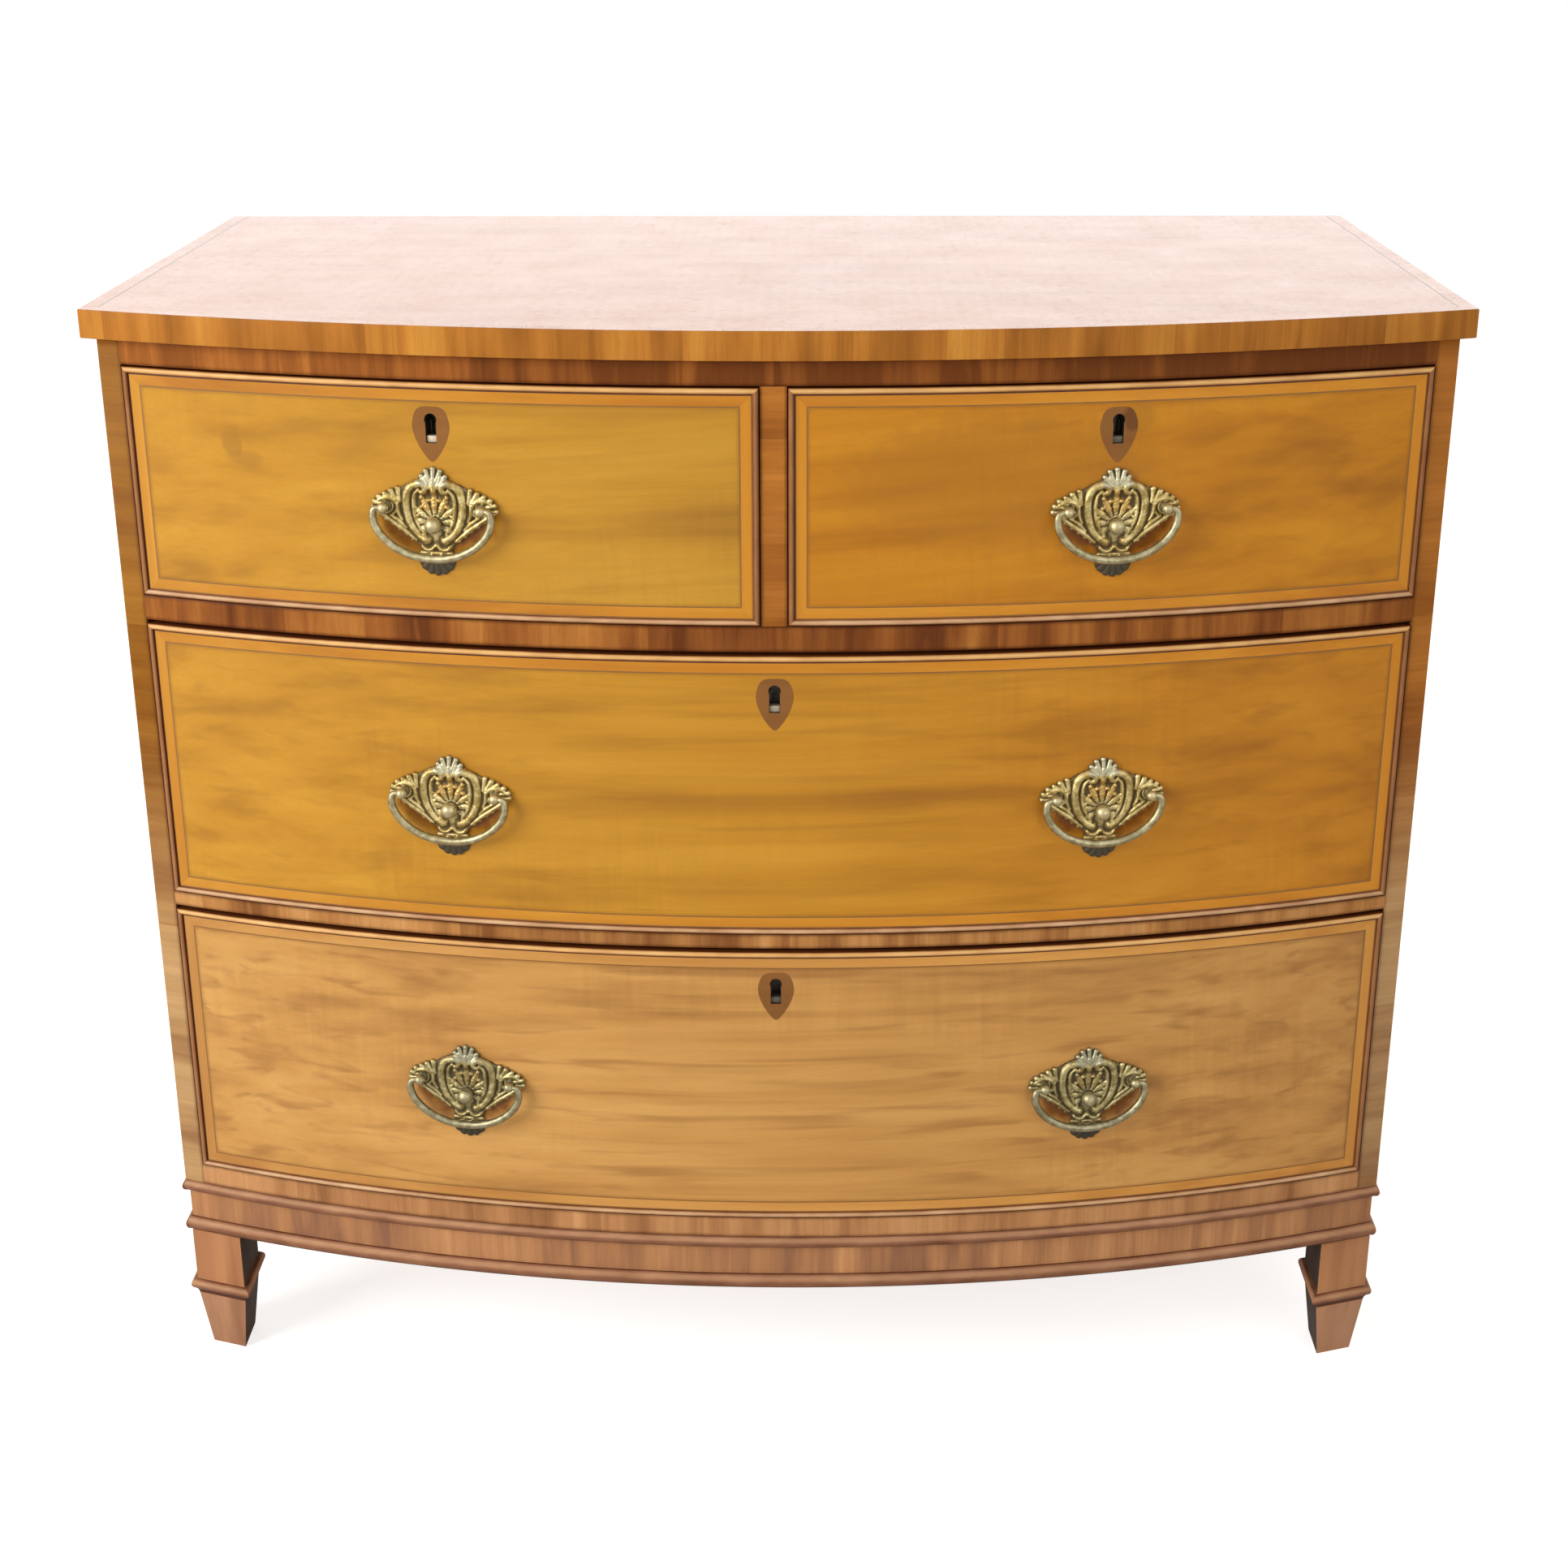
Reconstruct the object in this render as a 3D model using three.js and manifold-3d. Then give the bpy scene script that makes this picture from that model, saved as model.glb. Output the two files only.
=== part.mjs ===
// Bow front chest of drawers: two short drawers over two long ones, on a plinth with four
// tapered block feet. Millimetres, +Z up, the bowed front faces -Y and +X is to the right.
// The origin is at floor level, in the middle of the width and of the whole depth.

import * as THREE from 'three';
import { mergeVertices } from 'three/addons/utils/BufferGeometryUtils.js';
import Module from 'manifold-3d';

const wasm = await Module();
wasm.setup();

// Fits
const gap = 0.3; // glue line, seat or running fit between two pieces
const overrun = 6; // how far a cutting shape runs past what it cuts
const arcStep = 33; // longest flat along a bowed surface
const squareSides = 4; // a square bar, turned so that its flats face the axes

// Case
const caseWidth = 1039;
const caseDepth = 511; // front corner to back
const bowRise = 89; // how far the middle of the front stands out before its corners
const sideThickness = 18;
const backThickness = 10;
const dustboardThickness = 10;
const railBackDepth = 25; // straight back of the rails, behind the front corners
const muntinWidth = 20;

// Top
const topThickness = 22;
const topOverhang = 10.5;

// Rails and drawer openings, from the bottom up
const bottomRailHeight = 18.5;
const lowerOpeningHeight = 247.5;
const lowerRailHeight = 12;
const upperOpeningHeight = 236;
const middleRailHeight = 20;
const shortOpeningHeight = 183.5;
const topRailHeight = 20;

// Plinth and its two bead mouldings
const plinthHeight = 50.5;
const plinthSetback = 2.5; // its face lies this far behind the face of the case
const plinthThickness = 20;
const beadProjection = 5.5; // how far both mouldings stand out from the plinth
const beadFlat = 1; // height of the flat on a moulding's nose
const waistBeadHeight = 11;
const lowerBeadHeight = 13.5;
const beadSegments = 2;

// Feet: a square block, a half round collar and a taper
const footWidth = 45.5;
const footDepth = 56;
const footSetback = 1;
const footBlockHeight = 50;
const footCollarHeight = 15;
const footCollarProjection = 6;
const footTaperHeight = 55;
const footToeWidth = 31;
const collarSegments = 4;

// Drawers
const drawerSideClearance = 0.8;
const frontLift = 1; // under the lower edge of a drawer front
const longDrawerTopClearance = 3.4;
const shortDrawerTopClearance = 1.5;
const drawerBackClearance = 12;
const frontThickness = 22;
const drawerSideThickness = 10;
const drawerBackThickness = 10;
const drawerBottomThickness = 7;
const drawerBottomLift = 9; // of the bottom panel above the lower edge of the sides
const grooveDepth = 5;
const sideDrop = 4; // of the sides' upper edge below that of the front
const backDrop = 12;
const dovetailLap = 11; // wood left in front of the tails
const dovetailSpacing = 58;
const tailWidthShare = 0.62; // of the spacing
const tailSlope = 1 / 6;

// Cockbead round each drawer front
const cockbeadThickness = 4.5;
const cockbeadProjection = 2.5;
const cockbeadDepth = 9; // how deep it is let into the front

// Lock and keyhole
const lockWidth = 50;
const lockHeight = 48;
const lockDepth = 10;
const selvedgeWidth = 66;
const selvedgeThickness = 2.5;
const keyholeDrop = 28; // centre of its round part below the top of the front
const keyholeRadius = 4.7;
const keyholeSlotWidth = 6.4;
const keyholeHeight = 19.5;
const keyDepth = 7; // how far a key goes into the lock
const keyholeSegments = 9;

// Handles
const handleDrop = 4; // of the posts below the middle of the drawer front
const postSpacing = 76;
const bailAxisHeight = 10; // of the pivots before the drawer front
const plateThickness = 2;
const plateHalfWidth = 53;
const plateTop = 34; // above the posts
const plateBottom = 50; // below the posts
const postHeadRadius = 5;
const postNeckRadius = 2.8;
const postSegments = 8;
const postHeadSteps = 3;
const ovalHalfWidth = 21.5;
const ovalHalfHeight = 23;
const ovalDrop = 6.5;
const ovalBandWidth = 5;
const ovalRelief = 2;
const ovalSegments = 16;
const bossRadius = 6;
const bossDrop = 11.5;
const shellRelief = 3.5;
const shellSegments = 8;
const crestHalfWidth = 8;
const crestHalfHeight = 10;
const lowerShellHalfWidth = 13;
const lowerShellHalfHeight = 9;
const bailRadius = 2.6;
const bailPinRadius = 2;
const bailHalfWidth = 46;
const bailDrop = 36.5;
const bailPinReach = 5; // of the pin's end inside the middle of its post
const bailSides = 6;
const pinSides = 8;
const bailSteps = 22;
const boltRadius = 2.2; // of the bolts that hold the posts
const boltEnd = 1.5; // of a bolt beyond its nut
const nutWidth = 9.5;
const nutThickness = 4;
const boltSides = 6;

// Half outline of the backplate, from the crest down to the ear, as shares of
// plateHalfWidth and plateTop
const plateUpperShares = [
  [0, 1], [0.08, 0.97], [0.17, 0.84], [0.23, 0.7], [0.37, 0.68], [0.5, 0.56],
  [0.62, 0.48], [0.78, 0.38], [0.89, 0.32], [0.96, 0.18], [1, 0.02],
];
// And from the ear down to the lower shell, as shares of plateHalfWidth and plateBottom
const plateLowerShares = [
  [0.97, -0.1], [0.86, -0.17], [0.72, -0.2], [0.62, -0.34], [0.48, -0.47],
  [0.3, -0.6], [0.24, -0.68], [0.28, -0.78], [0.22, -0.92], [0.12, -0.98], [0, -1],
];
// Course of the bail from its bend to the middle of its grip, as shares of bailHalfWidth
// and bailDrop
const bailShares = [
  [0.99, -0.07], [1.01, -0.2], [0.97, -0.38], [0.86, -0.58], [0.68, -0.77], [0.44, -0.91], [0.2, -0.98],
];

// Worked out from the sizes above
const caseHalf = caseWidth / 2;
const bowRadius = (caseHalf * caseHalf + bowRise * bowRise) / (2 * bowRise);
const bowCentreY = bowRadius - bowRise;
const openingHalf = caseHalf - sideThickness;
const caseBack = caseDepth;
const footHeight = footTaperHeight + footCollarHeight + footBlockHeight;
const caseBase = footHeight + plinthHeight;
const lowerOpeningZ = caseBase + bottomRailHeight;
const lowerRailZ = lowerOpeningZ + lowerOpeningHeight;
const upperOpeningZ = lowerRailZ + lowerRailHeight;
const middleRailZ = upperOpeningZ + upperOpeningHeight;
const shortOpeningZ = middleRailZ + middleRailHeight;
const topRailZ = shortOpeningZ + shortOpeningHeight;
const topZ = topRailZ + topRailHeight;
const panelFront = caseBack - backThickness; // front face of the back panel
const originY = (caseBack - bowRise - topOverhang) / 2;
const shortDrawerInner = muntinWidth / 2 + drawerSideClearance;
const drawerOuter = openingHalf - drawerSideClearance;
const handleX = (shortDrawerInner + drawerOuter) / 2;

const finishes = {
  top: { color: 0xb5713c, roughness: 0.25, metalness: 0 },
  banding: { color: 0x9c5f31, roughness: 0.35, metalness: 0 },
  veneer: { color: 0xc8913f, roughness: 0.3, metalness: 0 },
  plinth: { color: 0xa06a45, roughness: 0.35, metalness: 0 },
  cockbead: { color: 0xc08a55, roughness: 0.35, metalness: 0 },
  pine: { color: 0xb98f5c, roughness: 0.7, metalness: 0 },
  oak: { color: 0xa9814f, roughness: 0.6, metalness: 0 },
  brass: { color: 0xa79a68, roughness: 0.35, metalness: 1 },
  iron: { color: 0x6a6458, roughness: 0.5, metalness: 1 },
};

// Y of the bowed face whose radius is given, at the place x
function bowY(x, radius = bowRadius) {
  return bowCentreY - Math.sqrt(radius * radius - x * x);
}

// Points along the bow from x0 to x1
function bowPoints(x0, x1, radius) {
  const steps = 2 * Math.max(1, Math.ceil(Math.abs(x1 - x0) / (2 * arcStep)));
  const points = [];
  for (let i = 0; i <= steps; i += 1) {
    const x = x0 + ((x1 - x0) * i) / steps;
    points.push(new THREE.Vector2(x, bowY(x, radius)));
  }
  return points;
}

// Outline with a bowed front and a straight back
function bowOutline(x0, x1, radius, back) {
  return [...bowPoints(x0, x1, radius), new THREE.Vector2(x1, back), new THREE.Vector2(x0, back)];
}

function extrudeUp(outline, z0, z1, holes = []) {
  const shape = new THREE.Shape(outline);
  holes.forEach((hole) => shape.holes.push(new THREE.Path(hole)));
  const geometry = new THREE.ExtrudeGeometry(shape, { depth: z1 - z0, bevelEnabled: false });
  return geometry.translate(0, 0, z0);
}

// Extrudes an outline drawn in X and Z along Y, from y0 back to y1
function extrudeBack(outline, y0, y1) {
  const shape = new THREE.Shape(outline);
  const geometry = new THREE.ExtrudeGeometry(shape, { depth: y1 - y0, bevelEnabled: false });
  return geometry.rotateX(Math.PI / 2).translate(0, y1, 0);
}

// Extrudes an outline drawn in Y and Z along X, from x0 to x1
function extrudeAcross(outline, x0, x1) {
  const shape = new THREE.Shape(outline);
  const geometry = new THREE.ExtrudeGeometry(shape, { depth: x1 - x0, bevelEnabled: false });
  const turn = new THREE.Matrix4().set(0, 0, 1, 0, 1, 0, 0, 0, 0, 1, 0, 0, 0, 0, 0, 1);
  return geometry.applyMatrix4(turn).translate(x0, 0, 0);
}

// A board with a bowed front face and a straight back
function bowPanel(x0, x1, z0, z1, radius, back) {
  return extrudeUp(bowOutline(x0, x1, radius, back), z0, z1);
}

// A board bowed on both faces
function bowSlab(x0, x1, z0, z1, outerRadius, innerRadius) {
  const outline = [...bowPoints(x0, x1, outerRadius), ...bowPoints(x1, x0, innerRadius)];
  return extrudeUp(outline, z0, z1);
}

function box(x0, x1, y0, y1, z0, z1) {
  const geometry = new THREE.BoxGeometry(x1 - x0, y1 - y0, z1 - z0);
  return geometry.translate((x0 + x1) / 2, (y0 + y1) / 2, (z0 + z1) / 2);
}

function toSolid(geometry) {
  const bare = geometry.clone();
  bare.deleteAttribute('normal');
  bare.deleteAttribute('uv');
  const merged = mergeVertices(bare);
  const vertProperties = new Float32Array(merged.attributes.position.array);
  const triVerts = new Uint32Array(merged.index.array);
  return new wasm.Manifold(new wasm.Mesh({ numProp: 3, vertProperties, triVerts }));
}

function toGeometry(solid) {
  const mesh = solid.getMesh();
  const geometry = new THREE.BufferGeometry();
  geometry.setAttribute('position', new THREE.BufferAttribute(mesh.vertProperties, 3));
  geometry.setIndex(new THREE.BufferAttribute(mesh.triVerts, 1));
  geometry.computeVertexNormals();
  return geometry;
}

function join(first, ...others) {
  return toGeometry(others.reduce((sum, other) => sum.add(toSolid(other)), toSolid(first)));
}

function cut(body, ...cutters) {
  return toGeometry(cutters.reduce((rest, cutter) => rest.subtract(toSolid(cutter)), toSolid(body)));
}

function addPiece(parent, name, geometry, finish) {
  const piece = new THREE.Mesh(geometry, new THREE.MeshStandardMaterial(finishes[finish]));
  piece.name = name;
  parent.add(piece);
  return piece;
}

// A group whose local -Y points straight out of the bowed front at x
function bowFrame(x, z) {
  const frame = new THREE.Group();
  frame.position.set(x, bowY(x), z);
  frame.rotation.z = Math.asin(x / bowRadius);
  return frame;
}

function addTop(parent) {
  const half = caseHalf + topOverhang;
  const outline = bowOutline(-half, half, bowRadius + topOverhang, caseBack);
  addPiece(parent, 'top_board', extrudeUp(outline, topZ, topZ + topThickness), 'top');
}

function addSides(parent) {
  const low = caseBase + gap;
  const high = topZ - gap;
  const left = bowPanel(-caseHalf, -openingHalf, low, high, bowRadius, caseBack);
  const right = bowPanel(openingHalf, caseHalf, low, high, bowRadius, caseBack);
  addPiece(parent, 'left_side', left, 'top');
  addPiece(parent, 'right_side', right, 'top');
}

// A front rail between the sides
function addRail(parent, name, low, high) {
  const half = openingHalf - gap;
  addPiece(parent, name, bowPanel(-half, half, low, high, bowRadius, railBackDepth), 'banding');
}

function addRails(parent) {
  addRail(parent, 'bottom_rail', caseBase + gap, lowerOpeningZ);
  addRail(parent, 'lower_rail', lowerRailZ, upperOpeningZ);
  addRail(parent, 'middle_rail', middleRailZ, shortOpeningZ);
  addRail(parent, 'top_rail', topRailZ, topZ - gap);
}

// The boards behind the rails that the drawers run on
function addBoards(parent) {
  const half = openingHalf - gap;
  const front = railBackDepth + gap;
  const back = panelFront - gap;
  const board = (low, high) => box(-half, half, front, back, low, high);
  addPiece(parent, 'bottom_board', board(caseBase + gap, lowerOpeningZ), 'pine');
  addPiece(parent, 'lower_dustboard', board(upperOpeningZ - dustboardThickness, upperOpeningZ), 'pine');
  addPiece(parent, 'upper_dustboard', board(shortOpeningZ - dustboardThickness, shortOpeningZ), 'pine');
}

function addDivision(parent) {
  const half = muntinWidth / 2;
  const low = shortOpeningZ + gap;
  const muntin = bowPanel(-half, half, low, topRailZ - gap, bowRadius, railBackDepth);
  const partition = box(-half, half, railBackDepth + gap, panelFront - gap, low, topZ - gap);
  addPiece(parent, 'muntin', muntin, 'banding');
  addPiece(parent, 'centre_partition', partition, 'pine');
}

function addBackPanel(parent) {
  const half = openingHalf - gap;
  addPiece(parent, 'back_panel', box(-half, half, panelFront, caseBack, caseBase + gap, topZ - gap), 'pine');
}

// Outline of the base, set back from the face of the case
function baseOutline(setback, back) {
  const half = caseHalf - setback;
  return bowOutline(-half, half, bowRadius - setback, back);
}

function addPlinth(parent) {
  const outer = baseOutline(plinthSetback, caseBack);
  const inner = baseOutline(plinthSetback + plinthThickness, caseBack - plinthThickness);
  const frame = extrudeUp(outer, footHeight + gap, caseBase, [inner]);
  addPiece(parent, 'plinth_frame', frame, 'plinth');
}

// A half round moulding bent round the front and both sides of the plinth
function addBead(parent, name, low, height) {
  const shape = new THREE.Shape(baseOutline(plinthSetback, caseBack + overrun));
  const slab = new THREE.ExtrudeGeometry(shape, {
    depth: beadFlat,
    bevelSize: beadProjection,
    bevelThickness: (height - beadFlat) / 2,
    bevelSegments: beadSegments,
  });
  slab.translate(0, 0, low + (height - beadFlat) / 2);
  const below = low - overrun;
  const above = low + height + overrun;
  const core = extrudeUp(baseOutline(plinthSetback - gap, caseBack + 2 * overrun), below, above);
  const reach = caseHalf + overrun + beadProjection;
  const behind = box(-reach, reach, caseBack, caseBack + 3 * overrun, below, above);
  addPiece(parent, name, cut(slab, core, behind), 'plinth');
}

function addBeads(parent) {
  addBead(parent, 'waist_moulding', caseBase - waistBeadHeight, waistBeadHeight);
  addBead(parent, 'plinth_bead', footHeight + gap, lowerBeadHeight);
}

// Half section of a foot, from the middle of its toe up to the middle of its top
function footProfile() {
  const half = footWidth / 2;
  const collarBase = footTaperHeight;
  const points = [[0, 0], [footToeWidth / 2, 0]];
  for (let i = 0; i <= collarSegments; i += 1) {
    const angle = (Math.PI * i) / collarSegments;
    const lift = (1 - Math.cos(angle)) / 2;
    points.push([half + footCollarProjection * Math.sin(angle), collarBase + footCollarHeight * lift]);
  }
  points.push([half, footHeight], [0, footHeight]);
  return points.map(([across, up]) => new THREE.Vector2(across * Math.SQRT2, up));
}

function addFoot(parent, name, sign, front, slope) {
  const foot = new THREE.LatheGeometry(footProfile(), squareSides, Math.PI / squareSides);
  foot.rotateX(Math.PI / 2);
  foot.scale(1, footDepth / footWidth, 1);
  const shear = new THREE.Matrix4().makeShear(slope, 0, 0, 0, 0, 0);
  foot.applyMatrix4(shear);
  const x = sign * (caseHalf - footSetback - footWidth / 2);
  foot.translate(x, front + footDepth / 2, 0);
  const reach = 2 * footDepth;
  const behind = box(x - reach, x + reach, caseBack, caseBack + reach, -overrun, footHeight + overrun);
  addPiece(parent, name, cut(foot, behind), 'plinth');
}

function addFeet(parent) {
  const x = caseHalf - footSetback - footWidth / 2;
  const frontFace = bowY(x, bowRadius - footSetback);
  const slope = x / (bowCentreY - bowY(x));
  const rearFace = caseBack - footDepth;
  addFoot(parent, 'front_left_foot', -1, frontFace, -slope);
  addFoot(parent, 'front_right_foot', 1, frontFace, slope);
  addFoot(parent, 'rear_left_foot', -1, rearFace, 0);
  addFoot(parent, 'rear_right_foot', 1, rearFace, 0);
}

// Outline of a keyhole in X and Z, about the middle of its round part
function keyholeOutline() {
  const halfSlot = keyholeSlotWidth / 2;
  const start = Math.asin(halfSlot / keyholeRadius);
  const points = [];
  for (let i = 0; i <= keyholeSegments; i += 1) {
    const angle = start + ((2 * Math.PI - 2 * start) * i) / keyholeSegments;
    points.push(new THREE.Vector2(keyholeRadius * Math.sin(angle), -keyholeRadius * Math.cos(angle)));
  }
  const slotEnd = keyholeRadius - keyholeHeight;
  points.push(new THREE.Vector2(-halfSlot, slotEnd), new THREE.Vector2(halfSlot, slotEnd));
  return points;
}

// Outline of the lock in X and Z below its top edge, grown all round by a clearance
function lockOutline(grow) {
  const half = lockWidth / 2 + grow;
  const wide = selvedgeWidth / 2 + grow;
  const ledge = -selvedgeThickness - grow;
  const corners = [[wide, grow], [-wide, grow], [-wide, ledge], [-half, ledge], [-half, -lockHeight - grow],
    [half, -lockHeight - grow], [half, ledge], [wide, ledge]];
  return corners.map(([x, z]) => new THREE.Vector2(x, z));
}

// The tails of one drawer side, as outlines in Y and Z
function tailOutlines(drawer, end, shoulder, grow) {
  const count = Math.max(2, Math.round(drawer.sideHeight / dovetailSpacing));
  const pitch = drawer.sideHeight / count;
  const halfEnd = (pitch * tailWidthShare) / 2;
  const halfNeck = halfEnd - (shoulder - end) * tailSlope;
  const outlines = [];
  for (let i = 0; i < count; i += 1) {
    const middle = drawer.sideLow + pitch * (i + 1 / 2);
    outlines.push([
      new THREE.Vector2(end - grow, middle - halfEnd - grow),
      new THREE.Vector2(shoulder, middle - halfNeck - grow),
      new THREE.Vector2(shoulder + overrun, middle - halfNeck - grow),
      new THREE.Vector2(shoulder + overrun, middle + halfNeck + grow),
      new THREE.Vector2(shoulder, middle + halfNeck + grow),
      new THREE.Vector2(end - grow, middle + halfEnd + grow),
    ]);
  }
  return outlines;
}

// Where a drawer side meets the front: its faces, and the ends of its tails
function sideSpan(drawer, outerX) {
  const sign = outerX === drawer.left ? 1 : -1;
  const innerX = outerX + sign * drawerSideThickness;
  const innerRadius = bowRadius - frontThickness;
  const shoulder = Math.max(bowY(outerX, innerRadius), bowY(innerX, innerRadius));
  const end = Math.max(bowY(outerX), bowY(innerX)) + dovetailLap;
  const low = Math.min(outerX, innerX);
  const high = Math.max(outerX, innerX);
  return { sign, outerX, innerX, low, high, shoulder, end };
}

function tailBlocks(drawer, span, grow) {
  const low = span.sign > 0 ? span.low - overrun * Math.sign(grow) : span.low - grow;
  const high = span.sign > 0 ? span.high + grow : span.high + overrun * Math.sign(grow);
  const outlines = tailOutlines(drawer, span.end, span.shoulder, grow);
  return outlines.map((outline) => extrudeAcross(outline, low, high));
}

function frontGeometry(drawer) {
  const { left, right, low, high } = drawer;
  const inset = cockbeadThickness + gap;
  const innerRadius = bowRadius - frontThickness;
  const rebateRadius = bowRadius - cockbeadDepth - gap;
  const middle = (innerRadius + rebateRadius) / 2;
  const field = bowSlab(left + inset, right - inset, low + inset, high - inset, bowRadius, middle);
  const body = bowSlab(left, right, low, high, rebateRadius, innerRadius);
  const blank = join(body, field);
  const panel = drawer.panel;
  const groove = bowSlab(panel.left - gap, panel.right + gap, panel.low - gap, panel.high + gap,
    innerRadius + grooveDepth, innerRadius - overrun);
  const keyway = extrudeBack(keyholeOutline(), -overrun, frontThickness + overrun);
  const mortise = extrudeBack(lockOutline(gap), frontThickness - lockDepth - gap, frontThickness + overrun);
  const lockMatrix = drawerFrameMatrix(drawer.keyX, high);
  const keyMatrix = drawerFrameMatrix(drawer.keyX, high - keyholeDrop);
  const sockets = drawer.spans.flatMap((span) => tailBlocks(drawer, span, gap));
  const boltHoles = drawer.handles.flatMap(([, x]) => {
    const matrix = drawerFrameMatrix(x, drawer.postZ);
    const holes = postBolts(boltRadius + gap, -overrun, frontThickness + overrun);
    return holes.map((hole) => hole.applyMatrix4(matrix));
  });
  keyway.applyMatrix4(keyMatrix);
  mortise.applyMatrix4(lockMatrix);
  return cut(blank, groove, keyway, mortise, ...sockets, ...boltHoles);
}

function drawerFrameMatrix(x, z) {
  const frame = bowFrame(x, z);
  frame.updateMatrix();
  return frame.matrix;
}

function sideGeometry(drawer, span) {
  const { sideLow, sideHigh, back, panel } = drawer;
  const front = span.shoulder - overrun - frontThickness;
  const board = box(span.low, span.high, front, back, sideLow, sideHigh);
  const faceRadius = bowRadius - frontThickness - gap;
  const cutFace = bowSlab(span.low - overrun, span.high + overrun, sideLow - overrun, sideHigh + overrun,
    bowRadius + 2 * frontThickness, faceRadius);
  const tails = tailBlocks(drawer, span, 0);
  const joined = join(cut(board, cutFace), ...tails);
  const grooveWall = span.innerX - span.sign * grooveDepth;
  const grooveMouth = span.innerX + span.sign * overrun;
  const groove = box(Math.min(grooveWall, grooveMouth), Math.max(grooveWall, grooveMouth),
    front - overrun, back + overrun, panel.low - gap, panel.high + gap);
  return cut(joined, groove);
}

function backGeometry(drawer) {
  const left = drawer.left + drawerSideThickness + gap;
  const right = drawer.right - drawerSideThickness - gap;
  const low = drawer.panel.high + gap;
  return box(left, right, drawer.back - drawerBackThickness, drawer.back, low, drawer.sideHigh - backDrop);
}

function bottomGeometry(drawer) {
  const { left, right, low, high } = drawer.panel;
  const radius = bowRadius - frontThickness + grooveDepth - gap;
  return bowPanel(left, right, low, high, radius, drawer.back);
}

function cockbeadGeometry(drawer) {
  const { left, right, low, high } = drawer;
  const outer = bowRadius + cockbeadProjection;
  const inner = bowRadius - cockbeadDepth;
  const t = cockbeadThickness;
  const whole = bowSlab(left, right, low, high, outer, inner);
  const window = bowSlab(left + t, right - t, low + t, high - t, outer + overrun, inner - overrun);
  return cut(whole, window);
}

function lockGeometry() {
  const back = frontThickness;
  const body = extrudeBack(lockOutline(0), back - lockDepth, back);
  const keyway = extrudeBack(keyholeOutline(), back - lockDepth - overrun, back - lockDepth + keyDepth);
  return cut(body, keyway.translate(0, 0, -keyholeDrop));
}

// A drawer's measures, from its two edges and the opening that it fills
function drawerSizes(name, left, right, opening, openingHeight, topClearance, handles) {
  const low = frontLift;
  const high = openingHeight - topClearance;
  const sideLow = gap;
  const sideHigh = high - sideDrop;
  const back = panelFront - drawerBackClearance;
  const reach = drawerSideThickness - grooveDepth + gap;
  const panel = {
    left: left + reach,
    right: right - reach,
    low: sideLow + drawerBottomLift,
    high: sideLow + drawerBottomLift + drawerBottomThickness,
  };
  const drawer = { name, left, right, opening, low, high, sideLow, sideHigh, back, panel, handles };
  drawer.sideHeight = sideHigh - sideLow;
  drawer.keyX = (left + right) / 2;
  drawer.postZ = (low + high) / 2 - handleDrop;
  drawer.spans = [sideSpan(drawer, left), sideSpan(drawer, right)];
  return drawer;
}

function addDrawer(parent, drawer) {
  const group = new THREE.Group();
  group.position.z = drawer.opening;
  parent.add(group);
  const [leftSpan, rightSpan] = drawer.spans;
  addPiece(group, `${drawer.name}_front`, frontGeometry(drawer), 'veneer');
  addPiece(group, `${drawer.name}_left_side`, sideGeometry(drawer, leftSpan), 'oak');
  addPiece(group, `${drawer.name}_right_side`, sideGeometry(drawer, rightSpan), 'oak');
  addPiece(group, `${drawer.name}_back`, backGeometry(drawer), 'oak');
  addPiece(group, `${drawer.name}_bottom`, bottomGeometry(drawer), 'oak');
  addPiece(group, `${drawer.name}_cockbead`, cockbeadGeometry(drawer), 'cockbead');
  const lockFrame = bowFrame(drawer.keyX, drawer.high);
  group.add(lockFrame);
  addPiece(lockFrame, `${drawer.name}_lock`, lockGeometry(), 'iron');
  drawer.handles.forEach(([name, x]) => addHandle(group, name, x, drawer.postZ));
}

// The scalloped outline of a backplate in X and Z, about the line of its posts
function plateOutline() {
  const upper = plateUpperShares.map(([across, up]) => [across * plateHalfWidth, up * plateTop]);
  const lower = plateLowerShares.map(([across, up]) => [across * plateHalfWidth, up * plateBottom]);
  const half = [...upper, ...lower];
  const mirrored = half.slice(1, -1).reverse();
  const points = [...half.map(([x, z]) => [-x, z]), ...mirrored];
  return points.map(([x, z]) => new THREE.Vector2(x, z));
}

function ellipse(halfWidth, halfHeight, segments) {
  const points = [];
  for (let i = 0; i < segments; i += 1) {
    const angle = (2 * Math.PI * i) / segments;
    points.push(new THREE.Vector2(halfWidth * Math.cos(angle), halfHeight * Math.sin(angle)));
  }
  return points;
}

// The raised oval of two scrolls round the middle of the plate
function ovalBand(plateFace) {
  const wide = ovalHalfWidth + ovalBandWidth / 2;
  const tall = ovalHalfHeight + ovalBandWidth / 2;
  const shape = new THREE.Shape(ellipse(wide, tall, ovalSegments));
  const hole = ellipse(wide - ovalBandWidth, tall - ovalBandWidth, ovalSegments);
  shape.holes.push(new THREE.Path(hole));
  const depth = ovalRelief + plateThickness / 2;
  const band = new THREE.ExtrudeGeometry(shape, { depth, bevelEnabled: false });
  return band.rotateX(Math.PI / 2).translate(0, plateFace + plateThickness / 2, -ovalDrop);
}

// A domed shell raised from the plate
function shellDome(plateFace, halfWidth, halfHeight, z) {
  const dome = new THREE.SphereGeometry(1, shellSegments, shellSegments / 2);
  dome.scale(halfWidth, shellRelief, halfHeight);
  return dome.translate(0, plateFace, z);
}

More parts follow.
